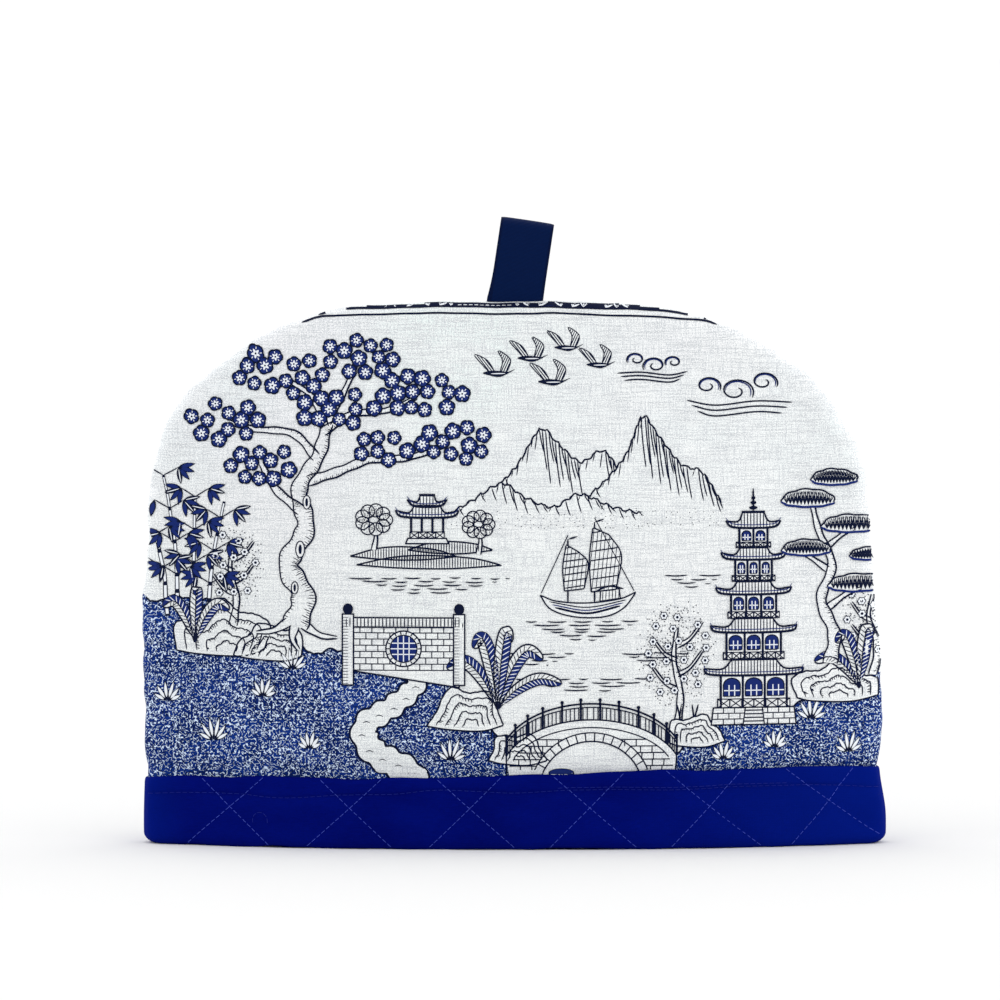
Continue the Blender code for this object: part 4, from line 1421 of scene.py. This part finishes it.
def mountains(ink):
    """Three ranges of far mountains with hatched flanks, fading into mist."""
    for number, knots in enumerate(RIDGES):
        ink.base = 2 + 2 * number
        ridge, foot = curve(knots), 152.0 - number
        step = np.arange(len(ridge))
        ridge[:, 1] += 0.7 * np.sin(step * 1.1) + 0.4 * np.sin(step * 2.7)
        left, right = ridge[0][0], ridge[-1][0]
        ink.fill([*ridge, (right, foot), (left, foot)])
        ink.stroke(ridge, 0.82, 2, 0.2)
        for i in range(3, len(ridge) - 2, 2):
            x, z = ridge[i]
            fall = (z - foot) * (0.42 + 0.16 * math.sin(i * 0.9))
            if ridge[i + 2][1] < z:
                ink.stroke(curve([(x, z), (x + 0.96, z - fall * 0.5), (x + 2.4, z - fall)]), 0.62, 2, 0.15)
            elif i % 4 == 1:
                ink.stroke(curve([(x, z), (x - 1.0, z - fall * 0.4)]), 0.54, 2, 0.15)
        mist = box((left + right) / 2, foot, (right - left) / 2, 9)
        ink.stipple(mist, 1.7, lambda x, z: 0.5 - 0.04 * (z - foot), 11 + number, MIST_DOT, 2)


GOOSE = ((-7, 0.4), (-3, 1.5), (2, 1.3), (5, 1.0), (8.4, 2.3), (5, 0.2), (1, -1.4), (-3, -0.9))
# Each wing's outline and the slant of its feathers.
WINGS = (
    (((-1.5, 0.8), (-5, 6.5), (-11, 9.0), (-6.5, 3.6), (-3.6, 0.8)), 128),
    (((1.4, 0.8), (2.4, 6.2), (0.2, 11), (6.0, 6.8), (4.2, 1.0)), 66),
)


def geese(ink):
    """Wild geese in a loose arrow."""
    for x, z, size in ((-8, 222, 1.0), (8, 229, 0.95), (25, 234, 0.9), (18, 218, 1.0), (40, 226, 0.9)):
        for knots, slant in WINGS:
            wing = curve(knots, True) * size + (x, z)
            ink.shape(wing, 0.5)
            ink.hatch(wing, slant, 1.0, 0.5, 2)
        ink.fill(curve(GOOSE, True) * size + (x, z), 4, NAVY)
        ink.line((x - 3 * size, z + 0.1), (x + 3.5 * size, z + 0.2), 0.48, 5, 0.4, PALE)


def bamboo(ink):
    """A grove of bamboo at the far left."""
    # (foot x, foot height, head x, head height)
    canes = ((-158, 112, -165, 176), (-151, 110, -150, 170), (-144, 108, -136, 164), (-163, 108, -170, 150))
    for number, (x, z, head_x, head_z) in enumerate(canes):
        line = curve([(x, z), (x + (head_x - x) * 0.3, z + (head_z - z) * 0.5), (head_x, head_z)])
        joints = np.arange(0, len(line), 8)
        for a, b in zip(joints, joints[1:]):
            ink.stroke(line[a : b + 1], 2.3 - 0.02 * a, 1, 1.0)
            ink.stroke(line[a + 1 : b], 1.35 - 0.015 * a, 2, 1.0, PALE)
        for side in (-1, 1):
            for a in joints[2 + number % 2 :: 2]:
                twig = line[a] + (side * 6.5, 4.0)
                ink.line(line[a], twig, 0.54, 3, 0.4)
                for turn in (-62, -30, 2, 30):
                    degrees = turn - 18 if side > 0 else 198 - turn
                    leaf(ink, twig, degrees, 8.2, 1.5, BLUE if (a // 8 + turn) % 3 else NAVY)


# Rocks at the waterside: (x, foot, half width, height)
ROCKS = (
    (-137, 92, 22, 22), (-114, 90, 16, 14), (-22, 58, 17, 17),
    (1, 42, 13, 12), (84, 50, 13, 12), (150, 70, 20, 15),
)


def rocks(ink):
    """Heaped rocks, each with bands that follow its crest and hatched undersides."""
    for number, (x, z, half, tall) in enumerate(ROCKS):
        ink.base = 5 + number % 3
        turn = np.linspace(0, math.pi, 9)
        rough = 1 + 0.13 * np.sin(np.arange(9) * 2.1 + number)
        crest = curve(pairs(x - half * np.cos(turn) * rough, z + tall * np.sin(turn) ** 0.75 * rough))
        step = np.arange(len(crest))
        crest[:, 1] += 0.5 * np.abs(np.sin(step * 0.8))
        foot = curve([crest[-1], (x + half * 0.4, z - 2.2), (x - half * 0.5, z - 1.6), crest[0]])[1:-1]
        ink.shape(np.concatenate([crest, foot]))
        centre = np.array((x + half * 0.12, z - 1.0))
        for share in (0.8, 0.6, 0.4, 0.22):
            band = centre + (crest - centre) * share
            band[:, 1] += 0.6 * np.abs(np.sin(step * 0.55 + share * 9))
            ink.stroke(band, 0.62, 3, 0.3)
            for i in range(2, len(band) - 2, 2):
                if math.sin(i * 0.31 + share * 20 + number) > -0.25:
                    ink.line(band[i], band[i] + (centre - band[i]) * 0.11, 0.5, 3, 0.4)


# Trees and shrubs drawn in dots and small flowers: (x, foot, height, half width)
SHRUBS = ((76, 56, 56, 15), (168, 80, 44, 12), (-132, 104, 44, 12))


def shrubs(ink):
    """Light trees: a pale stem with branches, rings of small flowers and a haze of dots."""
    for number, (x, z, tall, half) in enumerate(SHRUBS):
        stem = ((x, z), (x + 1.5, z + tall * 0.3), (x - 1.5, z + tall * 0.6), (x, z + tall * 0.86))
        limb(ink, 3.6, 1.2, *stem, level=3)
        for side, up in ((-1, 0.34), (1, 0.46), (-1, 0.58), (1, 0.7)):
            reaches = ((0, 0), (side * half * 0.4, 0.06), (side * half * 0.8, 0.2))
            branch = [(x + reach, z + tall * (up + rise)) for reach, rise in reaches]
            limb(ink, 1.9, 0.8, *branch, level=3, bark=False)
        centre, haze = np.array((x, z + tall * 0.64)), np.array((half * 1.25, tall * 0.46))

        def share(*place):
            return np.clip(1.15 - np.linalg.norm((np.column_stack(place) - centre) / haze, axis=1), 0, 1) * 0.85

        ink.stipple(arc(centre, *haze), 1.2, share, 21 + number, DOT, 1)
        placed = []
        scatter(np.random.default_rng(31 + number), placed, centre, half, tall * 0.38, 5.4, 200)
        for spot in placed:
            small_flower(ink, spot, 2.15, number)


def clouds(ink):
    """Scrolled clouds, each of three curls with trailing bands."""
    for x, z, size, facing in ((104, 214, 1.2, 1), (66, 226, 0.8, -1)):
        scale = np.array((facing * size, size))
        for curl_x, curl_z, reach in ((0, 0, 7.5), (11, 3.5, 6.0), (-11, 2.0, 5.5)):
            curl, degrees = np.array((curl_x, curl_z)), np.arange(-30, 430, 14)
            grow = reach * (1 - 0.78 * (np.arange(len(degrees)) / len(degrees)) ** 0.9)
            spiral = toward(degrees, grow, grow * 0.72) + curl
            ink.stroke(spiral * scale + (x, z), 0.78, 2, 0.3)
            inner = spiral[: len(spiral) // 2] * 0.86 + curl * 0.14
            ink.stroke(inner * scale + (x, z), 0.54, 2, 0.3, BLUE)
        for drop in (4.6, 6.6, 8.8):
            band = curve([(-24 + drop, -drop + 1), (-8, -drop - 1.0), (8, -drop + 0.6), (27 - drop, -drop)])
            ink.stroke(band * scale + (x, z), 0.72, 2, 0.1)


def far_islet(ink):
    """A low islet far out on the water, with a small pavilion and two round trees."""
    for x, z, half, tall in ((-40, 133, 34, 4.5), (-52, 137, 25, 4.5), (-30, 140, 20, 4.0)):
        crest = curve([(-half, 0), (-half * 0.5, tall * 0.8), (0, tall), (half * 0.6, tall * 0.7), (half, 0)])
        foot = curve([(half, 0), (half * 0.3, -1.6), (-half * 0.4, -1.4), (-half, 0)])
        whole = np.concatenate([crest, foot[1:-1]]) + (x, z)
        ink.shape(whole)
        ink.hatch(whole, 90, 1.25, 0.5, 3, 0.4)
    for x, z, size in ((-66, 150, 9), (-17, 148, 8)):
        limb(ink, 2.2, 1.0, (x, z - 10), (x + 1, z - 4), (x, z + 2), level=3, bark=False)
        for turn in range(0, 360, 40):
            ball = arc((x, z + 4) + toward(turn, 1.0, 0.8) * size * 0.62, size * 0.36, size * 0.34)
            ink.shape(ball[:-1], 0.6, 5)
            ink.stipple(ball, 1.05, lambda x, z: 0.75, turn + size, MIST_DOT, 7)
    x, z = -41.0, 143.0
    ink.base = 8
    ink.block(box(x, z, 10, 2.4, 9), 0.7)
    for post in x + np.linspace(-7.5, 7.5, 4):
        ink.line((post, z + 2.4), (post, z + 12), 1.1, 2)
    rail(ink, x - 8, x + 8, z + 2.4, 3.0)
    roof(ink, (x, z + 12), 12, 5.5, 3)
    roof(ink, (x, z + 17), 6.5, 5.5, 5)
    water_lines(ink, -40, 127, 38, 5, 17)


# Clumps of plantain: (x, foot, its leaves as (reach across, height, width))
CLUMPS = (
    (-8, 66, ((-19, 22, 5.0), (-9, 33, 5.5), (5, 36, 5.5), (17, 27, 5.2), (24, 14, 4.4))),
    (-150, 96, ((-12, 19, 4.4), (1, 25, 4.6), (13, 18, 4.4))),
    (162, 74, ((-17, 15, 4.4), (-9, 25, 4.8), (4, 28, 4.8))),
)


def plantain(ink):
    """Broad arching leaves in clumps at the waterside."""
    for x, z, leaves in CLUMPS:
        for number, (across, up, wide) in enumerate(leaves):
            ink.base = 7 + number % 3 * 2
            line = curve([(0, 0), (across * 0.35, up * 0.62), (across * 0.8, up), (across * 1.25, up * 0.86)])
            line += (x, z)
            share = np.linspace(0, 1, len(line))
            half = wide * np.clip((share - 0.12) / 0.88, 0, 1) ** 0.6 * (1 - share) ** 0.45 * 1.25 + 0.25
            aside = directions(line)[1] * half[:, None]
            left, right = line + aside, line - aside
            ink.shape(strip(left, right))
            ink.fill(strip(line, right), 3, BLUE)
            ink.stroke(line, 0.6, 4)
            for i in range(5, len(line) - 2, 2):
                for edge, colour in ((left, NAVY), (right, PALE)):
                    ink.line(line[i - 2], edge[i] * 0.94 + line[i] * 0.06, 0.45, 4, 0.4, colour)


# The pine's limbs: (thick, thin, knots), and its tiers: (x, height, half width, half height)
PINE_LIMBS = (
    (6.5, 2.0, (148, 86), (150, 100), (144, 116), (149, 132), (143, 148), (140, 160)),
    (3.0, 1.4, (147, 112), (157, 119), (164, 121)),
    (2.8, 1.2, (147, 130), (137, 137), (131, 139)),
    (2.6, 1.2, (146, 140), (155, 147), (160, 149)),
)
PINE_TIERS = (
    (161, 122, 13, 5.5), (137, 139, 11, 5), (158, 150, 13, 5.5),
    (138, 162, 12, 5.5), (150, 172, 10, 5), (166, 136, 8, 4),
)


def pine(ink):
    """A pine on the right shore, its needles in flat tiers."""
    for branch in PINE_LIMBS:
        limb(ink, *branch)
    for number, (x, z, half, tall) in enumerate(PINE_TIERS):
        ink.base = 12 + number % 2 * 3
        degrees = np.arange(0, 360, 6)
        lobes = 1 + 0.09 * np.abs(np.sin(np.radians(4.5 * degrees)))
        pad = toward(degrees, half * lobes, tall * lobes * np.where(degrees > 180, 0.45, 1)) + (x, z)
        ink.shape(pad, 0.8)
        for at in np.linspace(-0.86, 0.86, 13):
            deep = tall * math.sqrt(1 - at * at)
            foot = np.array((x + half * at, z - 0.3 * deep))
            for lean in (-0.5, -0.17, 0.17, 0.5):
                ink.line(foot, foot + (lean * 3.6, 1.12 * deep + 0.1 * tall), 0.5, 3, 0.3)
        ink.stroke(pad[30:61], 1.1, 4, 0.4, BLUE)


def shore_edge(ink):
    """The ground's ink outline, with a cliff of upright hatching where it meets the water."""
    for start, end in ((-176, 21), (57, 176)):
        x = np.arange(start, end, 0.5)
        ink.stroke(pairs(x, shore_height(x)), 0.85, 1, 1.0)
    for start, end in ((-46, 20), (58, 72)):
        for x in np.arange(start, end, 1.35):
            z = shore_height(x)
            ink.line((x, z), (x, z - 3.4 - 1.4 * math.sin(x)), 0.72, 1, 0.5)


# Tussocks on the ground: (x, foot)
TUSSOCKS = (
    (-163, 68), (-141, 50), (-118, 71), (-96, 47), (-104, 84),
    (-30, 42), (98, 42), (122, 47), (139, 60), (158, 44),
)


def grasses(ink):
    """Tussocks over the ground, water lilies, and reeds in the water."""
    for number, (x, z) in enumerate(TUSSOCKS):
        size = 1 + 0.15 * math.sin(number * 1.7)
        for turn, long in ((28, 6.5), (52, 8.5), (74, 10.5), (97, 10), (121, 9), (148, 6.5)):
            degrees = turn + 5 * math.sin(number * 2.3)
            leaf(ink, (x + toward(degrees)[0], z), degrees, long * size, 1.15, PALE)
    for x, z, half in ((34, 80, 34), (66, 92, 16), (10, 92, 18), (84, 128, 14)):
        water_lines(ink, x, z, half, 4, x + 40)
    for x, z, size in ((22, 36, 1.0), (48, 34, 0.9), (36, 30, 1.1)):
        pad = 6.0 * size, 2.1 * size
        ink.shape(arc((x, z), *pad)[:-1], 0.5, 1, BLUE)
        for turn in range(0, 360, 40):
            ink.line((x, z), (x, z) + toward(turn, *pad) * 0.85, 0.44, 3, 0.5, PALE)
    for number, x in enumerate((76, 79, 82, 85, -12, -9, -15)):
        z = 46.0 if x > 0 else 62.0
        lean = (-1) ** number * (2 + number % 3)
        ink.stroke(curve([(x, z), (x + lean * 0.3, z + 11), (x + lean, z + 22)]), 0.82, 2, 0.2)


# Two lines that follow the crown: (x, height of the lower, height of the upper)
CROWN_LINES = (
    (-100, 245.4, 247.0), (-92, 247.8, 248.6), (-85, 248.5, 250.4), (-78, 248.9, 251.4), (-45, 249.9, 252.5),
    (0, 249.7, 252.6), (22, 250.0, 252.4), (48, 248.8, 251.6), (64, 248.4, 251.0), (76, 247.6, 249.9),
    (84, 246.9, 248.4), (90, 245.9, 246.6), (95, 244.2, 244.8),
)


def crown_border(ink):
    """Two lines under the crown, and a dark border of leaves and small squares that runs into the seam."""
    upper = curve([(x, high) for x, _, high in CROWN_LINES[1:-1]])
    ink.stroke(curve([row[:2] for row in CROWN_LINES]), 0.8, 1, 0.3)
    ink.stroke(upper, 0.75, 1, 0.3)
    deep = upper[(upper[:, 0] > -87) & (upper[:, 0] < 84)]
    rows, count = np.arange(0, 8, 0.5), len(deep)
    starts = [at + i for at in range(0, count * (len(rows) - 1), count) for i in range(count - 1)]
    faces = [(at, at + 1, at + count + 1, at + count) for at in starts]
    ink.add(np.concatenate([deep + (0, row) for row in rows]), faces, 1, NAVY)
    for number, x in enumerate(np.arange(-84, 80, 5.2)):
        foot = np.array((x, np.interp(x, *deep.T)))
        if -27 < x < -2:
            for middle in (foot + (0.95, 1.45), foot + (3.55, 1.45)):
                ink.fan(box(middle[0], middle[1] - 0.95, 0.95, 1.9), middle, 2, PALE)
                ink.dots([middle], 0.42, 3)
        elif number % 4 == 3:
            ink.fan(foot + [(0, 0.4), (3.6, 0.4), (4.8, 3.4), (1.6, 3.4)], foot + (2.5, 1.8), 2, BLUE)
        else:
            start = foot + (2, 0.4)
            for turn in (20, 58, 96):
                ink.line(start, start + toward(turn + 25 * (number % 3), 3.6, 2.6), 0.7, 2, 0.3, PALE)


# The parts of the print in the order that they are drawn, each with its lowest level.
PARTS = (
    (shore_edge, 0), (mountains, 2), (clouds, 2), (geese, 2), (far_islet, 3), (shrubs, 2),
    (bamboo, 4), (rocks, 5), (path_way, 2), (grasses, 3), (bridge, 6), (junk, 6),
    (plantain, 7), (moon_gate, 8), (tower, 8), (pine, 10), (blossom_tree, 8), (crown_border, 1),
)


def drawing():
    """The whole print: a garden on two shores, of this maker's own invention."""
    ink = Ink()
    for part, lowest in PARTS:
        ink.base = lowest
        part(ink)
    return ink


# ---------------------------------------------------------------- the pieces, the stage and the light

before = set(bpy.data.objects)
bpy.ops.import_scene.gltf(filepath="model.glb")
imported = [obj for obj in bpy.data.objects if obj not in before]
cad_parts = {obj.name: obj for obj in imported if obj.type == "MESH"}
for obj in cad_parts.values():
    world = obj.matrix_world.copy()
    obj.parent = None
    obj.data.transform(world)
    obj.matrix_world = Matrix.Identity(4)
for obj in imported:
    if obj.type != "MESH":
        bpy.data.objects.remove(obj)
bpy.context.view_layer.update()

PRINTED = cotton_finish("printed_cotton", True)
QUILTED = quilted_cotton_finish()
RIBBON = navy_ribbon_finish()
NAVY_INK = printed_ink_finish("navy_ink", (0.0024, 0.0060, 0.0275))
BLUE_INK = printed_ink_finish("blue_ink", (0.0085, 0.0215, 0.140))
PALE_INK = printed_ink_finish("pale_ink", (0.80, 0.84, 0.89))
UNPRINTED = cotton_finish("unprinted_cotton", False)
PALE_THREAD = sewing_thread_finish("pale_thread", (0.068, 0.100, 0.56))
DIM_THREAD = sewing_thread_finish("dim_thread", (0.015, 0.022, 0.245))

panel_cloth, lining_cloth = printed_panel(), quilted_lining()
the_drawing = drawing()
sewing = (
    ("quilting", stitched(quilting_lines()), PALE_THREAD),
    ("topstitch", stitched(topstitch_lines()), DIM_THREAD),
)
for side_name, side in (("front", FRONT), ("back", BACK)):
    panel = panel_cloth.piece(f"{side_name}_panel", side, [PRINTED])
    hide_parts(f"panel_{side_name}")
    ink = the_drawing.piece(f"{side_name}_print", side, (NAVY, BLUE, PALE), [NAVY_INK, BLUE_INK, PALE_INK])
    bare = the_drawing.piece(f"{side_name}_unprinted", side, (BARE,), [UNPRINTED])
    lining = lining_cloth.piece(f"{side_name}_lining", side, [QUILTED])
    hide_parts(f"lining_{side_name}")
    threads = [
        made_piece(f"{side_name}_{name}", turned(points, side), faces, [finish])
        for name, (points, faces), finish in sewing
    ]
loop = ribbon_loop([RIBBON])
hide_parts("ribbon_loop")

FLOOR_REACH = 30
floor_corners = [(-FLOOR_REACH, -FLOOR_REACH, 0), (FLOOR_REACH, -FLOOR_REACH, 0)]
floor_corners += [(FLOOR_REACH, FLOOR_REACH, 0), (-FLOOR_REACH, FLOOR_REACH, 0)]
floor_paint = Finish("pale_floor", (0.95, 0.95, 0.95), 0.9, 0.02).material
placed("floor", mesh_of("floor", floor_corners, [(0, 1, 2, 3)], [floor_paint]))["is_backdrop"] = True

world = bpy.data.worlds.new("white_studio")
bpy.context.scene.world = world
world.use_nodes = True
world.node_tree.nodes["Background"].inputs["Color"].default_value = (1, 1, 1, 1)
world.node_tree.nodes["Background"].inputs["Strength"].default_value = 1.08


def lit_group(name, members):
    """A collection of pieces, for the lights that shine on them alone."""
    group = bpy.data.collections.new(name)
    for member in members:
        group.objects.link(member)
    return group


def lit_from(name, place, watts, lit, size=0.7, aim=(0, 0, 0.13)):
    """A soft square light, aimed at the cosy and kept off the floor."""
    light = bpy.data.lights.new(name, "AREA")
    light.shape, light.size, light.energy = "SQUARE", size, watts
    lamp = placed(name, light)
    lamp.location = place
    lamp.rotation_euler = (Vector(aim) - Vector(place)).to_track_quat("-Z", "Y").to_euler()
    lamp.light_linking.receiver_collection = lit


cosy = lit_group("cosy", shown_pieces())
lit_from("left_rim_light", (-1.4, 0.5, 0.5), 2.5, cosy)
lit_from("right_rim_light", (1.4, 0.5, 0.5), 2.5, cosy)
lit_from("crown_light", (0.0, 0.7, 1.5), 2.5, cosy)
lit_from("right_fill_light", (0.55, -0.45, 0.25), 0.28, cosy, 0.3, (0.08, 0, 0.12))
for side_name, behind in (("front", 1), ("back", -1)):
    names = [f"{side_name}_{part}" for part in ("panel", "print", "unprinted")]
    cloth = lit_group(f"{side_name}_cloth", [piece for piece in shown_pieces() if piece.name in names])
    lit_from(f"{side_name}_left_edge_light", (-1.4, 0.5 * behind, 0.5), 3.0, cloth)
    lit_from(f"{side_name}_right_edge_light", (1.4, 0.45 * behind, 0.4), 5.0, cloth)
    lit_from(f"{side_name}_crown_edge_light", (0.0, 0.7 * behind, 1.5), 3.0, cloth)

bpy.context.scene.view_settings.view_transform = "Standard"

AIM = Vector((-6.85, 0, 162.1)) * MM
SEEN_WIDTH = 472.6 * MM
LENS, SENSOR, FARTHEST = 400, 36, 200
RISE = math.radians(3)
camera_data = bpy.data.cameras.new("camera")
camera_data.lens, camera_data.sensor_width, camera_data.clip_end = LENS, SENSOR, FARTHEST
camera = placed("camera", camera_data)
away = Vector((0, -math.cos(RISE), math.sin(RISE)))
camera.location = AIM + away * (SEEN_WIDTH * LENS / SENSOR)
camera.rotation_euler = (-away).to_track_quat("-Z", "Y").to_euler()
bpy.context.scene.camera = camera
